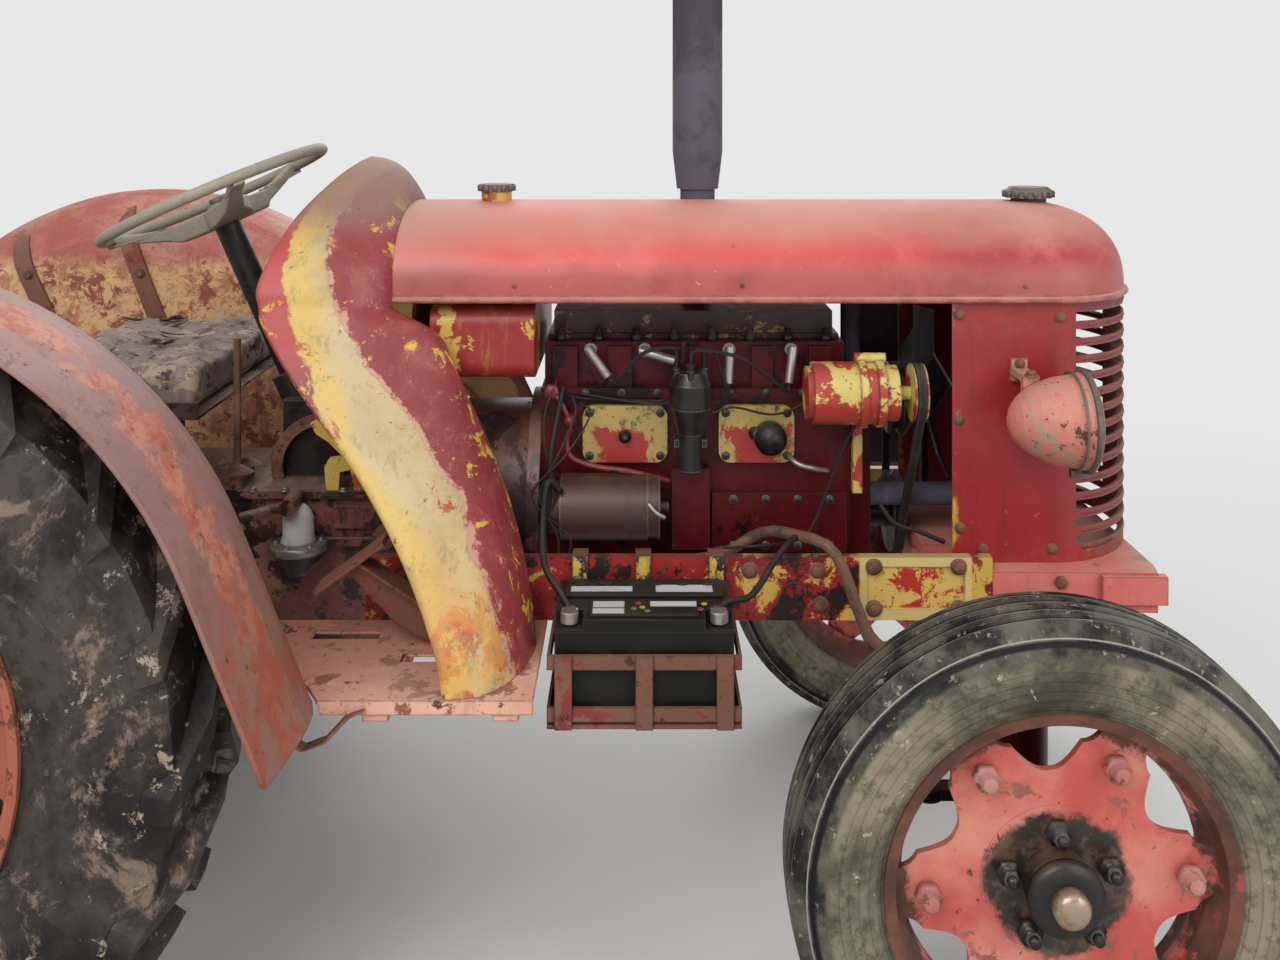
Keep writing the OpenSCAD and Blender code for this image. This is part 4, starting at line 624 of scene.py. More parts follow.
def build_floor():
    """A pale floor that runs into the backdrop's colour in the distance."""
    mesh = bmesh.new()
    bmesh.ops.create_grid(mesh, x_segments=1, y_segments=1, size=40)
    floor = new_object("floor", mesh)
    floor.location.z = -0.001
    p = Paint("pale_floor")
    p.coat = p.mix(p.noise(0.8, 3), "#d6d6d2", "#dcdcd8")
    p.finish(0.9)
    far = p.node("Emission", {"Color": BACKDROP})
    distance = p.node("VectorMath", {0: p.coords}, operation="LENGTH").outputs["Value"]
    share = p.times(p.step(distance, 1.6, 5.5), p.seen())
    blend = p.node("MixShader", {0: share, 1: p.shader.outputs[0], 2: far.outputs[0]})
    p.link(blend.outputs[0], p.tree.nodes["Material Output"].inputs["Surface"])
    floor.data.materials.append(p.material)


# Making meshes

UP = Vector((0, 0, 1))
SIDES = ((1, "left"), (-1, "right"))


def new_object(name, mesh, smooth=None):
    """A mesh object from a bmesh; smooth is the angle in degrees up to which faces shade smooth."""
    data = bpy.data.meshes.new(name)
    if smooth:
        for face in mesh.faces:
            face.smooth = True
        for edge in mesh.edges:
            if len(edge.link_faces) == 2 and edge.calc_face_angle(0) > radians(smooth):
                edge.smooth = False
    mesh.to_mesh(data)
    mesh.free()
    return add_to_scene(name, data)


def place(obj, finish, body="chassis"):
    """Gives a piece its finish in its material slot, and the body that it moves with."""
    obj.data.materials.append(MATERIALS[finish])
    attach(obj, body)
    return obj


def make(name, mesh, finish, smooth=35, body="chassis"):
    return place(new_object(name, mesh, smooth), finish, body)


def circle(radius, sides):
    """The corners of a circle, as pairs."""
    return [(radius * cos(2 * pi * k / sides), radius * sin(2 * pi * k / sides)) for k in range(sides)]


def skin(mesh, rings):
    """Joins rings of points into a closed skin; a ring of one point is a tip.

    Seen against the way from ring to ring, the points run anticlockwise, so that the faces look outwards."""
    made = [[mesh.verts.new(point) for point in ring] for ring in rings]
    for low, high in zip(made, made[1:]):
        for k in range(max(len(low), len(high))):
            corners = ((low, k), (low, k + 1), (high, k + 1), (high, k))
            mesh.faces.new(list(dict.fromkeys(ring[j % len(ring)] for ring, j in corners)))
    for ring in (made[0][::-1], made[-1]):
        if len(ring) > 1:
            mesh.faces.new(ring)


def add_turned(mesh, at, direction, profile, sides):
    """A turned solid: profile is a list of (distance along, radius), closed at both ends."""
    turn = Matrix.Translation(at) @ Vector(direction).to_track_quat("Z", "Y").to_matrix().to_4x4()
    skin(mesh, [[turn @ Vector((x, y, along)) for x, y in (circle(radius, sides) if radius > 0 else [(0, 0)])]
                for along, radius in profile])


def add_bolt(mesh, at, direction, radius, height):
    """A bolt's head on a washer, lying on the surface at a point."""
    add_turned(mesh, at, direction, [(-0.001, radius * 1.35), (0.0015, radius * 1.35)], 16)
    add_turned(mesh, at, direction, [(0.001, radius), (height * 0.8, radius), (height, radius * 0.86)], 6)


def add_rivet(mesh, at, direction, radius):
    """A round rivet's head."""
    profile = [(-0.001, radius), (0.001, radius)]
    profile += [(radius * along, radius * out) for along, out in ((0.45, 0.75), (0.6, 0.35), (0.65, 0))]
    add_turned(mesh, at, direction, profile, 10)


def add_box(mesh, low, high, bevel=0.0):
    """A box with bevelled edges between two corners."""
    made = bmesh.ops.create_cube(mesh, size=1.0)["verts"]
    for v in made:
        v.co = Vector([low[i] + (v.co[i] + 0.5) * (high[i] - low[i]) for i in range(3)])
    if bevel:
        edges = list({e for v in made for e in v.link_edges})
        bmesh.ops.bevel(mesh, geom=edges, offset=bevel, segments=2, affect="EDGES", profile=0.5)


def add_tube(mesh, path, radius, sides=8):
    """A closed tube along a path, its section carried along without a twist."""
    path = [Vector(point) for point in path]
    rings = []
    side = None
    for i, point in enumerate(path):
        run = (path[min(i + 1, len(path) - 1)] - path[max(i - 1, 0)]).normalized()
        side = run.orthogonal() if side is None else side
        side = (side - run * side.dot(run)).normalized()
        r = radius[i] if isinstance(radius, list) else radius
        rings.append([point + side * x + run.cross(side) * y for x, y in circle(r, sides)])
    skin(mesh, rings)


def spline(points, t):
    """A smooth curve through a list of points, at t from 0 to their number less one."""
    i = min(int(t), len(points) - 2)
    f = t - i
    b, c = points[i], points[i + 1]
    a = points[i - 1] if i else b * 2 - c
    d = points[i + 2] if i + 2 < len(points) else c * 2 - b
    return 0.5 * (2 * b + (c - a) * f + (2 * a - 5 * b + 4 * c - d) * f * f
                  + (3 * b - a - 3 * c + d) * f ** 3)


def add_lead(mesh, points, radius, sides=8, steps=6):
    """A lead or pipe that bends smoothly through points."""
    points = [Vector(point) for point in points]
    add_tube(mesh, [spline(points, k / steps) for k in range(steps * (len(points) - 1) + 1)], radius, sides)


def sheet_mesh(outer, inner):
    """A closed sheet between two grids of points."""
    mesh = bmesh.new()
    top, low = [[[mesh.verts.new(point) for point in row] for row in grid] for grid in (outer, inner)]
    rows, cols = len(top), len(top[0])
    for i in range(rows - 1):
        for j in range(cols - 1):
            for s in (top, low):
                mesh.faces.new((s[i][j], s[i + 1][j], s[i + 1][j + 1], s[i][j + 1]))
        for j in (0, cols - 1):
            mesh.faces.new((top[i][j], top[i + 1][j], low[i + 1][j], low[i][j]))
    for j in range(cols - 1):
        for i in (0, rows - 1):
            mesh.faces.new((top[i][j], top[i][j + 1], low[i][j + 1], low[i][j]))
    bmesh.ops.recalc_face_normals(mesh, faces=mesh.faces)
    return mesh


def axle_point(x, z, side, radius, angle, across):
    """A point about the axle at x, z: angle in degrees from forwards towards up."""
    return Vector((x + radius * cos(radians(angle)), side * across, z + radius * sin(radians(angle))))


# Bonnet and scuttle

ARCH_POWER = 2.4
NOSE_X, SHEET, SEAT = 1.175, 0.004, 0.0003
BONNET_BACK = -0.020
RADIATOR_CAP_X, FUEL_CAP_X = 1.201, 0.140
# Holes for the exhaust and the caps: place and radius, and the height above which faces are cut
BONNET_HOLES = ((0.546, 0.118, 0.050), (FUEL_CAP_X, 0, 0.0305), (RADIATOR_CAP_X, 0, 0.0345))
HOLES_ABOVE = 1.25
# The bead's section along the lower edge: how far out, and how far below the edge
BEAD = [(0, 0.012), (0.0045, 0.0115), (0.0075, 0.0095), (0.0085, 0.0065), (0.0075, 0.0035), (0.0045, 0.0015)]


def arch_point(station, angle, out=0.0, drop=0.0):
    """A point of the bonnet's skin. The station is a distance behind the nose's centre or, above zero, an
    angle round the nose; the angle goes across the arch from the left edge to the right one."""
    k, u = cos(max(station, 0)), sin(max(station, 0))
    across = copysign(abs(cos(angle)) ** (2 / ARCH_POWER), cos(angle))
    q = (u * u + (k * across) ** 2) ** (ARCH_POWER / 2)
    return Vector((NOSE_X + min(station, 0) + (0.195 + out) * u, (0.252 + out) * k * across,
                   1.178 - drop + (0.155 + out) * max(0, 1 - q) ** (1 / ARCH_POWER)))


def cut_round_hole(mesh, x, y, radius):
    """Takes a round hole out of the top of a fine sheet."""
    def away(spot):
        return hypot(spot.x - x, spot.y - y)

    middles = [(f, f.calc_center_median()) for f in mesh.faces]
    gone = [f for f, middle in middles if middle.z > HOLES_ABOVE and away(middle) < radius]
    rim = {v for f in gone for v in f.verts if any(other not in gone for other in v.link_faces)}
    bmesh.ops.delete(mesh, geom=gone, context="FACES")
    for vertex in rim:
        if vertex.is_valid:
            grow = radius / max(away(vertex.co), 0.001)
            vertex.co.x = x + (vertex.co.x - x) * grow
            vertex.co.y = y + (vertex.co.y - y) * grow


def build_bonnet():
    """The bonnet as one smooth pressing, with its rolled bead and the holes for exhaust and caps."""
    stations = [(BONNET_BACK - NOSE_X) * (1 - k / 110) for k in range(110)]
    stations += [radians(a) for a in (0, 3, 6, 9, *range(12, 77, 4), 79, 82, 84, 86, 87.5, 88.7, 89.5)]
    columns = [(0, out, drop) for out, drop in BEAD] + [(radians(3 * k), 0, 0) for k in range(61)]
    columns += [(pi, out, drop) for out, drop in reversed(BEAD)]
    mesh = sheet_mesh([[arch_point(x, a, out, drop) for a, out, drop in columns] for x in stations],
                      [[arch_point(x, a, -SHEET, drop) for a, _, drop in columns] for x in stations])
    for x, y, radius in BONNET_HOLES:
        cut_round_hole(mesh, x, y, radius)
    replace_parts(make("bonnet_pressing", mesh, "bonnet", 50), "bonnet")


# Rows of the scuttle on the right, from the crown down: its rear rim and its front edge, which starts under
# the bonnet at these angles of the arch
SCUTTLE_REAR = [Vector(point) for point in (
    (-0.107, 0, 1.421), (-0.140, -0.100, 1.394), (-0.189, -0.200, 1.333), (-0.212, -0.280, 1.280),
    (-0.235, -0.330, 1.210), (-0.229, -0.342, 1.172), (-0.219, -0.352, 1.140), (-0.162, -0.380, 1.057),
    (-0.035, -0.450, 0.914), (0.052, -0.520, 0.798), (0.112, -0.580, 0.681), (0.128, -0.600, 0.6123))]
SCUTTLE_FRONT = [Vector(point) for point in (
    (-0.018, -0.266, 1.160), (0.070, -0.272, 1.110), (0.112, -0.290, 1.030), (0.172, -0.312, 0.905),
    (0.215, -0.340, 0.790), (0.243, -0.372, 0.675), (0.251, -0.396, 0.6123))]
SCUTTLE_ANGLES = (90, 113, 137, 158, 176)
SCUTTLE_FOOT, SCUTTLE_ROLL = 0.6123, 0.0065


def scuttle_row(t):
    """The scuttle's rear and front point at row t, negative on the left."""
    mirrored = [Vector((p.x, -p.y, p.z)) for p in SCUTTLE_REAR[:0:-1]]
    back = spline(mirrored + SCUTTLE_REAR, len(mirrored) + t)
    side, t = copysign(1, t), abs(t)
    last = len(SCUTTLE_ANGLES) - 1
    i = min(int(t), last - 1)
    angle = SCUTTLE_ANGLES[i] + (SCUTTLE_ANGLES[i + 1] - SCUTTLE_ANGLES[i]) * (min(t, last) - i)
    ahead = arch_point(BONNET_BACK - SEAT - NOSE_X, radians(angle))
    if t >= last + 1:
        ahead = spline(SCUTTLE_FRONT, t - last - 1)
    elif t > last:
        ahead = ahead.lerp(SCUTTLE_FRONT[0], t - last)
    return back, Vector((ahead.x, ahead.y * side, ahead.z))


def build_scuttle():
    """The swooping scuttle as one smooth pressing with a rolled rear edge."""
    steps = [0, 0.015, 0.03] + [k / 20 for k in range(1, 21)]
    outer = []
    for rear, front in (scuttle_row(-11 + k / 6) for k in range(133)):
        bend = Vector((rear.x + 0.9 * (front.x - rear.x), rear.y, rear.z + 0.05 * (front.z - rear.z)))
        outer.append([rear * (1 - u) ** 2 + bend * 2 * u * (1 - u) + front * u * u for u in steps])
    inner = []
    for i, row in enumerate(outer):
        inner.append([])
        for j, point in enumerate(row):
            along = outer[min(i + 1, len(outer) - 1)][j] - outer[max(i - 1, 0)][j]
            inward = along.cross(row[min(j + 1, len(row) - 1)] - row[max(j - 1, 0)]).normalized()
            if inward.dot(Vector((0, 0, 0.9)) - point) < 0:
                inward = -inward
            low = point + inward * SHEET
            inner[-1].append(Vector((low.x, low.y, max(low.z, SCUTTLE_FOOT))))
    mesh = sheet_mesh(outer, inner)
    ridge = []
    for (top, *_), (under, *_) in zip(outer, inner):
        middle = (top + under) / 2
        lift = SCUTTLE_ROLL if middle.z < 0.62 else 0
        ridge.append(middle + (under - top).normalized() * SHEET + UP * lift)
    add_tube(mesh, ridge, SCUTTLE_ROLL, 10)
    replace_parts(make("scuttle_pressing", mesh, "cowl", 50), "cowl")


# Wheels

WINDOW_INNER, WINDOW_OUTER, WINDOW_HALF = 0.163, 0.2265, 17


def build_front_wheels():
    """Both front wheels from their solids, with the wide windows between the spider's six arms."""
    turns = range(-WINDOW_HALF, WINDOW_HALF + 1, 2)
    reach = WINDOW_OUTER - WINDOW_INNER
    outline = [(WINDOW_INNER + reach * (abs(t) / WINDOW_HALF) ** 2.6, t) for t in turns]
    outline += [(WINDOW_OUTER, t) for t in turns[-2:0:-1]]
    for side, word in SIDES:
        node = f"front_wheel_{word}"
        mesh = bmesh.new()
        mesh.from_mesh(NODES[node].data)
        bmesh.ops.remove_doubles(mesh, verts=mesh.verts, dist=1e-5)
        solid = new_object(f"wheel_solid_{word}", mesh)
        cutters = bmesh.new()
        for k in range(6):
            skin(cutters, [[axle_point(FRONT_X, FRONT_Z, side, r, 60 * k + 34 + t, FRONT_Y + depth)
                            for r, t in outline] for depth in (0.012, 0.040)])
        bmesh.ops.recalc_face_normals(cutters, faces=cutters.faces)
        cutter = new_object(f"wheel_windows_{word}", cutters)
        cut = solid.modifiers.new("windows", "BOOLEAN")
        cut.operation, cut.solver, cut.object = "DIFFERENCE", "EXACT", cutter
        result = bmesh.new()
        result.from_object(solid, bpy.context.evaluated_depsgraph_get())
        for spare in (solid, cutter):
            bpy.data.objects.remove(spare)
        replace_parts(make(f"front_wheel_disc_{word}", result, "wheel", 30, node), node)


def build_front_wheel_fittings():
    """Clamp studs with nuts, hub nuts, hub cap and axle end on each front wheel."""
    stud = [(0, 0.017), (0.030, 0.017), (0.033, 0.013), (0.048, 0.012), (0.050, 0.009)]
    nut = [(0, 0.019), (0.008, 0.019), (0.008, 0.014), (0.02, 0.014), (0.022, 0.011)]
    cap = [(0.070, 0.056), (0.078, 0.056), (0.084, 0.050), (0.088, 0.040), (0.089, 0.036)]
    for side, word in SIDES:
        out = Vector((0, side, 0))
        hub = axle_point(FRONT_X, FRONT_Z, side, 0, 0, FRONT_Y)
        mesh = bmesh.new()
        for k in range(6):
            at = axle_point(FRONT_X, FRONT_Z, side, 0.190, 60 * k + 4, FRONT_Y + 0.052)
            add_turned(mesh, at - 0.03 * out, out, stud, 12)
            add_turned(mesh, at - 0.012 * out, out, [(0, 0.020), (0.014, 0.020)], 6)
        make(f"clamp_nuts_{word}", mesh, "wheel_nuts", body=f"front_wheel_{word}")
        mesh = bmesh.new()
        for k in range(5):
            at = axle_point(FRONT_X, FRONT_Z, side, 0.078, 72 * k + 20, FRONT_Y + 0.044)
            add_turned(mesh, at, out, nut, 6)
            add_turned(mesh, at, out, [(0.02, 0.0085), (0.032, 0.008)], 10)
        add_turned(mesh, hub, out, cap, 28)
        make(f"hub_nuts_{word}", mesh, "greasy", body=f"front_wheel_{word}")
        mesh = bmesh.new()
        add_turned(mesh, hub, out, [(0.086, 0.027), (0.104, 0.027), (0.112, 0.021), (0.114, 0)], 20)
        make(f"axle_end_{word}", mesh, "axle_end", body=f"knuckle_{word}")


def build_rear_wheel_fittings():
    """Disc bolts, hub cap and rim bolts on each rear wheel."""
    bolt = [(0.02, 0.021), (0.036, 0.021), (0.036, 0.013), (0.052, 0.012)]
    cap = [(-0.04, 0.085), (0.0, 0.085), (0.02, 0.078), (0.045, 0.06), (0.05, 0.03), (0.052, 0)]
    for side, word in SIDES:
        out = Vector((0, side, 0))
        mesh = bmesh.new()
        for k in range(8):
            add_turned(mesh, axle_point(REAR_X, REAR_Z, side, 0.150, 45 * k, REAR_Y - 0.024), out, bolt, 6)
        add_turned(mesh, axle_point(REAR_X, REAR_Z, side, 0, 0, REAR_Y), out, cap, 32)
        for k in range(8):
            at = axle_point(REAR_X, REAR_Z, side, 0.315, 45 * k + 22, REAR_Y)
            add_turned(mesh, at, out, [(0.0, 0.013), (0.014, 0.013)], 6)
        make(f"rear_wheel_nuts_{word}", mesh, "greasy", body=f"rear_wheel_{word}")


# Nose, side panels and headlamps

SLOT_COUNT, SLOT_PITCH = 14, 0.031
SLOT_LOW = 0.6973 + (1.180 - 0.6973 - (SLOT_COUNT - 1) * SLOT_PITCH) / 2
# Distance from the middle, radius, height and places of the bolts on each side
PANEL_BOLTS = (
    (0.2455, 0.0075, 0.006, ((1.002, 1.145), (1.002, 0.955), (1.004, 0.76), (1.045, 0.722), (1.17, 0.722),
                             (1.185, 1.14))),
    (RAIL_Y + 0.0003, 0.011, 0.009, ((0.84, 0.632), (0.99, 0.632), (0.84, 0.706), (0.99, 0.706), (0.74, 0.70),
                                     (0.745, 0.64), (0.62, 0.70), (0.22, 0.64), (0.18, 0.70), (0.02, 0.64))),
    (RAIL_Y + 0.001, 0.012, 0.009, ((1.10, 0.645), (1.17, 0.68))))
BONNET_RIVETS = ((0.61, 1.198), (1.12, 1.196), (0.2, 1.197))


def build_nose_bars():
    """Rounded bars between the cooling slots, proud of the nose shell, with closed ends."""
    mesh = bmesh.new()
    turns = [radians(11.5 + 66 * k / 20) for k in range(21)]
    for side, _ in SIDES:
        for i in range(SLOT_COUNT + 1):
            z = SLOT_LOW + (i - 0.5) * SLOT_PITCH
            path = [(NOSE_X + 0.1905 * cos(t), -side * 0.2405 * sin(t), z) for t in turns]
            add_tube(mesh, path, [0.0024] + [0.006] * 19 + [0.0024])
    make("nose_bars", mesh, "nose_bars", 50)


def build_panel_bolts():
    """Bolts along the nose's side panels, the front casting and the rails, and rivets on the bonnet."""
    mesh = bmesh.new()
    for side, _ in SIDES:
        out = (0, -side, 0)
        for y, radius, height, spots in PANEL_BOLTS:
            for x, z in spots:
                add_bolt(mesh, (x, -side * y, z), out, radius, height)
        for x, z in BONNET_RIVETS:
            add_rivet(mesh, (x, -side * 0.2525, z), out, 0.004)
    make("panel_bolts", mesh, "rusty")


def build_headlamp_trim():
    """Rims with a rolled edge, the bowl's swage and the bracket's bolts on both headlamps."""
    mesh, bolts = bmesh.new(), bmesh.new()
    ring = circle(0.0835, 48)
    for side, _ in SIDES:
        centre = Vector((1.186, -side * 0.341, 0.976))
        for x, radius, sides in ((0.008, 0.0062, 8), (-0.012, 0.0026, 6)):
            add_tube(mesh, [centre + Vector((x, y, z)) for y, z in ring + ring[:1]], radius, sides)
        low, high = (centre + Vector((a * 0.016, a * 0.008, a * 0.008 - 0.090)) for a in (-1, 1))
        add_box(mesh, low, high, 0.002)
        for z in (1.031, 1.058):
            add_bolt(bolts, (1.109, -side * 0.2535, z), (0, -side, 0), 0.007, 0.006)
        add_bolt(bolts, centre + Vector((-0.077, side * 0.02, 0.0745)), UP, 0.009, 0.009)
    make("headlamp_rims", mesh, "band_grey", 40)
    make("headlamp_bolts", bolts, "rusty")


# Battery: the corners of its case, then its labels from one corner and the coloured dots

BATTERY_LOW = Vector((0.288, -0.474, 0.521))
BATTERY_HIGH = Vector((0.578, -0.302, 0.686))
LABELS = ((0.060, 0.112, 0.010, 0.030, 0.0055), (0.060, 0.112, 0.036, 0.060, 0.0055),
          (0.155, 0.232, 0.040, 0.060, 0.0055), (0.020, 0.125, 0.100, 0.122, 0.0075),
          (0.165, 0.262, 0.098, 0.128, 0.0075))
DOTS = (("red", ((0.135, 0.052), (0.238, 0.028))), ("green", ((0.128, 0.03), (0.15, 0.02))),
        ("yellow", ((0.142, 0.035), (0.245, 0.05))))
LEAD_RADIUS = 0.0058


def build_battery_details():
    """Blank labels, coloured plugs, terminals with clamps and their leads."""
    (x0, y0, z0), (x1, y1, top) = BATTERY_LOW, BATTERY_HIGH
    lid = bmesh.new()
    add_box(lid, (x0 + 0.055, y0 + 0.006, top - 0.002), (x1 - 0.055, y0 + 0.075, top + 0.006), 0.003)
    add_box(lid, (x0 + 0.01, y0 + 0.088, top - 0.002), (x1 - 0.01, y1 - 0.01, top + 0.008), 0.004)
    for k in range(6):
        x = x0 + 0.035 + k * (x1 - x0 - 0.07) / 5
        add_turned(lid, (x, y1 - 0.035, top + 0.006), UP, [(0, 0.013), (0.005, 0.013), (0.007, 0.010)], 20)
    for back, front in ((x0 - 0.0024, x0 + 0.0006), (x1 - 0.0006, x1 + 0.0024)):
        for k in range(9):
            y = y0 + 0.018 + k * (y1 - y0 - 0.036) / 8
            add_box(lid, (back, y - 0.0025, z0 + 0.012), (front, y + 0.0025, top - 0.028), 0.0008)
    make("battery_lid", lid, "plastic")
    labels = bmesh.new()
    for xa, xb, ya, yb, z in LABELS:
        add_box(labels, (x0 + xa, y0 + ya, top + z), (x0 + xb, y0 + yb, top + z + 0.0013))
    make("battery_labels", labels, "label", None)
    for word, spots in DOTS:
        dots = bmesh.new()
        for x, y in spots:
            add_turned(dots, (x0 + x, y0 + y, top + 0.0055), UP, [(0, 0.005), (0.0014, 0.005)], 16)
        make(f"battery_dots_{word}", dots, f"dot_{word}", None)
    clamps = bmesh.new()
    y = y0 + 0.022
    for x in (x0 + 0.022, x1 - 0.022):
        add_turned(clamps, (x, y, top - 0.012), UP, [(0, 0.015), (0.016, 0.015), (0.018, 0.013)], 20)
        add_box(clamps, (x - 0.008, y + 0.006, top - 0.011), (x + 0.008, y + 0.034, top + 0.002), 0.002)
        add_turned(clamps, (x - 0.013, y + 0.024, top - 0.004), (1, 0, 0), [(0, 0.006), (0.026, 0.006)], 6)
    make("battery_clamps", clamps, "steel")
    leads = bmesh.new()
    x, y = x1 - 0.022, y0 + 0.05
    add_lead(leads, [(x, y, top - 0.004), (x + 0.02, y + 0.012, top + 0.006), (0.615, -0.40, 0.698),
                     (0.66, -0.34, 0.735), (0.70, -0.285, 0.755), (0.735, -0.25, 0.735),
                     (0.75, -0.235, 0.70)], LEAD_RADIUS, 10)
    x = x0 + 0.022
    add_lead(leads, [(x, y, top - 0.004), (x - 0.018, y + 0.03, top + 0.012), (0.262, -0.36, 0.735),
                     (0.255, -0.30, 0.79), (0.262, -0.275, 0.85), (0.285, -0.262, 0.83)], LEAD_RADIUS, 10)
    make("battery_leads", leads, "rubber", 60)


def build_hanger_plates():
    """Worn yellow and black plates over the cradle's hooks on the rail."""
    mesh = bmesh.new()
    for x in (0.306, 0.418, 0.547):
        add_box(mesh, (x + 0.001, -0.2968, 0.668), (x + 0.027, -0.2954, 0.7265), 0.0005)
        add_bolt(mesh, (x + 0.014, -0.2968, 0.684), (0, -1, 0), 0.006, 0.005)
    make("hanger_plates", mesh, "hanger")


# Engine: pipes and leads by radius, each point with its distance from the near face

RED_PIPES = ((0.0055, ((0.263, -0.020, 0.99), (0.275, -0.030, 0.978), (0.296, -0.034, 0.935),
                       (0.290, -0.034, 0.90), (0.300, -0.040, 0.872), (0.345, -0.050, 0.858),
                       (0.40, -0.060, 0.853), (0.455, -0.040, 0.835), (0.50, -0.012, 0.815))),)
HARNESS = tuple((thick, ((0.284 + dx, -0.026, 1.00 - dx), (0.275 + 2 * dx, -0.05, 0.955),
                         (0.266 + dx, -0.085 - dx, 0.90), (0.262 - dx, -0.108, 0.82),
                         (0.255 + 1.5 * dx, -0.112, 0.75), (0.262 + dx, -0.112, 0.70),
                         (0.28 + dx, -0.108, 0.66)))
                for dx, thick in ((0.0, 0.0050), (0.016, 0.0024), (0.030, 0.0018), (-0.012, 0.0018)))
LEADS = HARNESS + (
    (0.0022, ((0.31, -0.012, 0.985), (0.40, -0.02, 0.972), (0.47, -0.025, 0.968), (0.50, -0.03, 0.985))),
    (0.0022, ((0.557, -0.05, 0.955), (0.60, -0.04, 0.965), (0.68, -0.03, 0.95), (0.76, -0.02, 0.985),
              (0.80, -0.012, 1.03))),
    (0.0028, ((0.835, -0.07, 0.965), (0.80, -0.06, 0.90), (0.77, -0.055, 0.82), (0.745, -0.06, 0.76),
              (0.72, -0.07, 0.735), (0.66, -0.09, 0.728), (0.56, -0.1, 0.726))),
    (0.0042, ((0.86, -0.09, 0.80), (0.885, -0.1, 0.77), (0.93, -0.1, 0.755), (0.975, -0.095, 0.735))))
STEEL_PIPES = ((0.004, ((0.47, -0.13, 0.79), (0.455, -0.135, 0.80), (0.44, -0.128, 0.815))),
               (0.005, ((0.70, -0.012, 0.872), (0.716, -0.032, 0.86), (0.742, -0.036, 0.852),
                        (0.778, -0.012, 0.84))))


def engine_leads(rows, sides=8):
    mesh = bmesh.new()
    for radius, points in rows:
        add_lead(mesh, [(x, ENGINE_FACE + y, z) for x, y, z in points], radius, sides)
    return mesh


def build_engine_pipes():
    """Pipes, hoses and leads along the near side of the block."""
    red = engine_leads(RED_PIPES, 10)
    for x, y, z, profile in ((0.262, -0.016, 0.99, [(-0.004, 0.016), (0.014, 0.016), (0.017, 0.013)]),
                             (0.296, -0.020, 0.938, [(-0.01, 0.012), (0.022, 0.012)])):
        add_turned(red, (x, ENGINE_FACE + y, z), NEAR, profile, 6)
    make("red_pipe", red, "red_pipe", 60)
    make("engine_leads", engine_leads(LEADS), "rubber", 60)
    make("steel_pipes", engine_leads(STEEL_PIPES), "steel", 60)


def build_engine_fittings():
    """Bolts, nuts and studs on the block and its covers."""
    heads = bmesh.new()
    for x0, x1 in ((0.319, 0.477), (0.573, 0.714)):
        for z in (0.869, 0.949):
            for x in (x0 + 0.013, x1 - 0.013):
                add_bolt(heads, (x, ENGINE_FACE - 0.0143, z), NEAR, 0.006, 0.005)
    for k in range(9):
        add_bolt(heads, (0.255 + k * 0.068, ENGINE_FACE - 0.004, 0.984), NEAR, 0.006, 0.006)
        add_bolt(heads, (0.262 + k * 0.066, ENGINE_FACE - 0.0142, 0.646), NEAR, 0.007, 0.007)
    stud = [(0, 0.011), (0.012, 0.011), (0.012, 0.007), (0.024, 0.0065)]
    for k in range(8):
        add_turned(heads, (0.275 + k * 0.072, ENGINE_FACE + 0.034, 1.0745), UP, stud, 6)
    for x in (0.60, 0.66, 0.72, 0.78):
        for z in (0.788, 0.702):
            add_bolt(heads, (x, ENGINE_FACE - 0.0163, z), NEAR, 0.0065, 0.006)
    make("engine_bolts", heads, "greasy")
    caps = bmesh.new()
    for x, z in ((0.398, 0.905), (0.64, 0.912)):
        add_turned(caps, (x, ENGINE_FACE - 0.0143, z), NEAR, [(0, 0.012), (0.006, 0.012), (0.009, 0.008),
                                                              (0.02, 0.007)], 12)
    add_turned(caps, (0.668, ENGINE_FACE - 0.02, 0.905), NEAR, [(-0.01, 0.03), (0.02, 0.03), (0.024, 0.024),
                                                                (0.030, 0.0235)], 20)
    make("cover_studs", caps, "greasy")


def build_bay_shade_sheet():
    """A dark folded sheet beside the fan on the far side, which closes the bay ahead of the belt: it stands
    as painted shade for the bay's dark interior.
    """
    mesh = bmesh.new()
    add_box(mesh, (0.868, 0.2385, 0.745), (0.9895, 0.2415, 1.092), 0.0008)
    add_box(mesh, (0.868, 0.2260, 0.745), (0.871, 0.2400, 1.092), 0.0008)
    for z in (0.80, 0.92, 1.04):
        add_bolt(mesh, (0.978, 0.2415, z), (0, 1, 0), 0.007, 0.006)
    make("bay_shade_sheet", mesh, "soot")


# Driver's place and mudguards

WHEEL_TURN = Matrix.Translation(WHEEL_CENTRE) @ Matrix.Rotation(-COLUMN_TILT, 4, "Y")
# Columns: distance from the middle, height, half width, half thickness
SPOKE_STATIONS = ((0.006, -0.046, 0.042, 0.019), (0.085, -0.045, 0.039, 0.018), (0.112, -0.038, 0.020, 0.013),
                  (0.165, -0.022, 0.014, 0.010), (0.212, -0.004, 0.0125, 0.009), (0.224, 0.0, 0.0105, 0.007))
CORNERS = ((-1, -1), (1, -1), (1, 1), (-1, 1))
SPOKES = [WHEEL_TURN @ Matrix.Rotation(radians(120 * k + 60), 4, "Z") for k in range(3)]
# Foot and tip of each rib on a mudguard's inner panel, and the strap's line at the near tip
RIBS = (((-0.719, 1.003), (-0.822, 1.272)), ((-0.986, 1.023), (-1.088, 1.235)))
STRAP = ((-0.112, 0.600, 0.556), (-0.085, 0.612, 0.546), (-0.050, 0.614, 0.560), (-0.018, 0.604, 0.592),
         (0.004, 0.598, 0.600))
GUARD_FROM, GUARD_TAIL = 22, 0.284


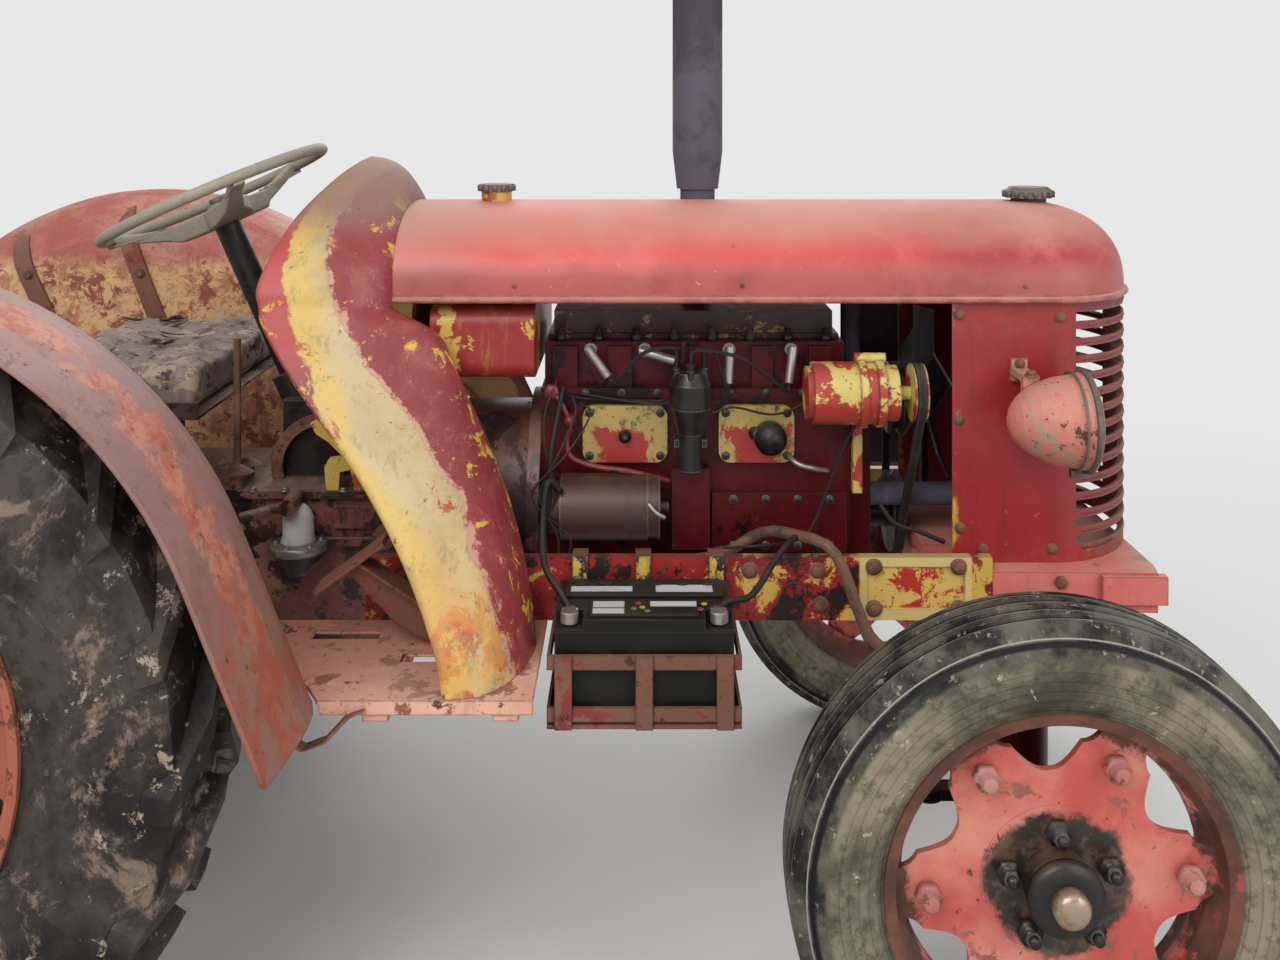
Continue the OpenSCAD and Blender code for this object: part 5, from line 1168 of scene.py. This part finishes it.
def build_steering_rivets():
    """Rivets on the spokes and a nut on the steering wheel's hub."""
    mesh = bmesh.new()
    for turn in SPOKES:
        spoke = turn @ Matrix.Rotation(radians(-7), 4, "Y")
        for x in (0.035, 0.060, 0.12, 0.19):
            for y in (-0.008, 0.008):
                add_rivet(mesh, spoke @ Vector((x, y, -0.0371)), spoke.to_3x3() @ UP, 0.0045)
    add_turned(mesh, WHEEL_TURN @ Vector((0, 0, -0.020)), WHEEL_TURN.to_3x3() @ UP,
               [(0, 0.016), (0.012, 0.016), (0.014, 0.013)], 6)
    make("steering_rivets", mesh, "cap_grey", body="steering_wheel")


def build_steering_spokes():
    """Three deep pressed spokes that widen to a bent plate at the steering wheel's hub."""
    for k, spoke in enumerate(SPOKES):
        mesh = bmesh.new()
        skin(mesh, [[spoke @ Vector((x, y * w, z + h * t)) for y, h in CORNERS]
                    for x, z, w, t in SPOKE_STATIONS])
        bmesh.ops.recalc_face_normals(mesh, faces=mesh.faces)
        edges = [e for e in mesh.edges if e.calc_face_angle(0) > 0.7]
        bmesh.ops.bevel(mesh, geom=edges, offset=0.005, segments=3, profile=0.6, affect="EDGES")
        make(f"steering_spoke_{k + 1}", mesh, "grey", 40, "steering_wheel")


def build_gearbox_cap():
    """The pale cap and the bright flange on the gearbox's side, with small bolts round them."""
    x0, y0 = -0.207, -0.184
    cap = bmesh.new()
    profile = [(0, 0.031), (0.004, 0.032), (0.012, 0.0285), (0.044, 0.0285), (0.052, 0.026), (0.062, 0.020),
               (0.068, 0.013), (0.0695, 0.006)]
    add_turned(cap, (x0, y0, 0.7145), UP, profile, 32)
    make("gearbox_cap", cap, "white_cap", 50)
    ring = bmesh.new()
    add_turned(ring, (x0, y0, 0.7005), UP, [(-0.002, 0.051), (0.013, 0.0525), (0.0145, 0.050)], 40)
    for k in range(6):
        a = radians(60 * k + 15)
        add_bolt(ring, (x0 + 0.041 * cos(a), y0 + 0.041 * sin(a), 0.7145), UP, 0.005, 0.005)
    for x in (-0.30, -0.24, -0.13, -0.06, 0.0):
        for y in (-0.155, 0.155):
            add_bolt(ring, (x, y, 0.8003), UP, 0.0065, 0.006)
    make("gearbox_ring", ring, "steel", 40)


def build_cap_grips():
    """Scalloped rims of the fuel cap and the radiator cap."""
    mesh = bmesh.new()
    for x, z, radius, lobes in ((FUEL_CAP_X, 1.3525, 0.0335, 12), (RADIATOR_CAP_X, 1.3405, 0.0465, 16)):
        for dx, dy in circle(radius, lobes):
            add_turned(mesh, (x + dx, dy, z), UP, [(0, 0.0045), (0.010, 0.005), (0.013, 0.003)], 8)
    make("cap_grips", mesh, "cap_grey", 50)


def guard_edge(angle, radius, y):
    """A point on the mudguard's outer edge; past the arch it runs straight down the tail."""
    a = radians(max(angle, GUARD_FROM))
    tail = max(0, GUARD_FROM - angle) / GUARD_FROM * GUARD_TAIL
    return Vector((REAR_X + radius * cos(a) + sin(a) * tail, y, REAR_Z + radius * sin(a) - cos(a) * tail))


def guard_panel_y(x, z):
    """How far out the mudguard's inner panel lies, round its bent shoulder too."""
    r = hypot(x - REAR_X, z - REAR_Z)
    if r < 0.540:
        return 0.4985
    return 0.700 - 0.2005 * sin(acos(min(1, (r - 0.540) / 0.136)))


def build_guard_lips():
    """A rolled edge on both mudguards, the strap at the near tip and ribs on the inner panels."""
    steps = [k * 2.2 for k in range(10)] + [GUARD_FROM + k * 2 for k in range(66)]
    for (side, word), paint in zip(SIDES, ("far_guard", "brown")):
        mesh = bmesh.new()
        add_tube(mesh, [guard_edge(a, 0.6615, side * 0.8485) for a in steps], 0.0042)
        make(f"mudguard_lip_{word}", mesh, paint, 50)
    ribs, straps = bmesh.new(), bmesh.new()
    across = Vector((0.019, 0, 0.007))
    for side, _ in SIDES:
        inward = Vector((0, -side * 0.007, 0))
        for foot, tip in RIBS:
            line = [(foot[0] + (tip[0] - foot[0]) * k / 12, foot[1] + (tip[1] - foot[1]) * k / 12)
                    for k in range(13)]
            middles = [Vector((x, side * (guard_panel_y(x, z) - 0.0005), z)) for x, z in line]
            skin(ribs, [[m - across, m + across, m + across + inward, m - across + inward] for m in middles])
            for share in (0, 0.4):
                x, z = (foot[i] * (1 - share) + tip[i] * share for i in (0, 1))
                add_bolt(ribs, (x - 0.002, side * 0.4905, z + 0.012), (0, -side, 0), 0.008, 0.006)
        skin(straps, [[(x + 0.003 * a, side * (y + 0.013 * b), z) for a, b in CORNERS] for x, y, z in STRAP])
    for name, mesh, finish in (("mudguard_ribs", ribs, "cradle"), ("guard_straps", straps, "rusty")):
        bmesh.ops.recalc_face_normals(mesh, faces=mesh.faces)
        make(name, mesh, finish)


# The torn bench cushion

CUSHION_VOXEL = 0.0075
PUFF_FRAMES, PUFF_PRESSURE, PUFF_CAP = 20, 4.0, 0.010
FLAKES, FLAKE_SIDES, FLAKE_SHEET = 16, 14, 0.002


def puff(obj):
    """Blows a closed mesh up as cloth with no gravity and keeps every point near its start."""
    scene = bpy.context.scene
    start = [v.co.copy() for v in obj.data.vertices]
    cloth = obj.modifiers.new("puff", "CLOTH")
    cloth.settings.use_pressure = True
    cloth.settings.uniform_pressure_force = PUFF_PRESSURE
    cloth.settings.effector_weights.gravity = 0
    cloth.settings.quality = 5
    for number in range(1, PUFF_FRAMES + 1):
        scene.frame_set(number)
    shaped = obj.evaluated_get(bpy.context.evaluated_depsgraph_get())
    moved = [v.co.copy() for v in shaped.to_mesh().vertices]
    shaped.to_mesh_clear()
    obj.modifiers.remove(cloth)
    scene.frame_set(1)
    for v, a, b in zip(obj.data.vertices, start, moved):
        step = b - a
        v.co = a + step * min(1.0, PUFF_CAP / step.length) if step.length > 1e-9 else a


def build_cushion():
    """A blown-up pad, sagged in the middle, crumbling, with loose flakes of cover."""
    low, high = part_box("seat_cushion")
    mesh = bmesh.new()
    add_box(mesh, low + Vector((0.010, 0.012, 0.002)), high - Vector((0.010, 0.012, 0.014)), 0.016)
    pad = new_object("bench_cushion", mesh)
    bpy.context.view_layer.objects.active = pad
    pad.select_set(True)
    pad.data.remesh_voxel_size = CUSHION_VOXEL
    bpy.ops.object.voxel_remesh()
    puff(pad)
    centre, size = (low + high) / 2, high - low
    for v in pad.data.vertices:
        u, w = (2 * (v.co[i] - centre[i]) / size[i] for i in (0, 1))
        top = max(0.0, min(1.0, (v.co.z - low.z) / size.z * 1.6 - 0.5))
        spot = Vector((v.co.x, v.co.y, 0)) * 6
        sag = 0.016 * (1 - u * u) * (1 - w * w)
        lumps = 0.012 * noise.fractal(spot * 2.2, 1.0, 2.0, 5)
        torn = noise.fractal(spot * 4.0 + Vector((9, 3, 1)), 0.9, 2.1, 6)
        pit = min(0.016 * max(0.0, torn - 0.18) / 0.5, 0.022)
        v.co.z = max(low.z + 0.0005, min(high.z, v.co.z + top * (lumps - sag - pit)))
        edge = 0.006 * noise.fractal(v.co * 18, 1.0, 2.0, 4)
        v.co.x += edge * abs(u) ** 3
        v.co.y += edge * abs(w) ** 5
    subdivided = pad.modifiers.new("smooth", "SUBSURF")
    subdivided.levels = subdivided.render_levels = 1
    bpy.ops.object.modifier_apply(modifier=subdivided.name)
    mesh = bmesh.new()
    mesh.from_mesh(pad.data)
    draws = random.Random(11)
    for _ in range(FLAKES):
        x = draws.uniform(low.x + 0.04, high.x - 0.04)
        y = draws.uniform(low.y + 0.05, high.y - 0.05)
        add_flake(mesh, Vector((x, y, high.z - 0.010)), draws)
    mesh.to_mesh(pad.data)
    mesh.free()
    for polygon in pad.data.polygons:
        polygon.use_smooth = True
    place(pad, "vinyl")
    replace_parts(pad, "seat_cushion")


def add_flake(mesh, at, draws):
    """A loose, curled flake of cover with a ragged outline, as a thin closed sheet."""
    size, turn, lift = draws.uniform(0.02, 0.055), draws.uniform(0, 6.28), draws.uniform(0.1, 0.4)
    spin = Matrix.Rotation(turn, 3, "Z")
    rings = []
    for share in (0.5, 1.0):
        ring = []
        for k in range(FLAKE_SIDES):
            a = 2 * pi * k / FLAKE_SIDES
            r = size * share * (0.7 + 0.45 * noise.noise(Vector((at.x * 50 + k * 0.7, at.y * 40, share))))
            curl = lift * r * cos(a) * share
            z = max(curl + 0.004 * noise.noise(Vector((k * 0.9, at.x * 30, at.y * 30))), -0.004)
            ring.append(at + spin @ Vector((r * cos(a), 0.6 * r * sin(a), z)))
        rings.append(ring)
    rings.insert(0, [at])
    skin(mesh, [[point - UP * FLAKE_SHEET for point in ring] for ring in rings] + rings[::-1])


build_camera()
bpy.context.scene.view_settings.view_transform = "Standard"
for build in (build_light, build_floor, build_bonnet, build_scuttle, build_front_wheels,
              build_front_wheel_fittings, build_rear_wheel_fittings, build_nose_bars, build_panel_bolts,
              build_headlamp_trim, build_battery_details, build_hanger_plates, build_engine_pipes,
              build_engine_fittings, build_steering_rivets, build_gearbox_cap, build_bay_shade_sheet,
              build_steering_spokes, build_guard_lips, build_cap_grips, build_cushion):
    build()
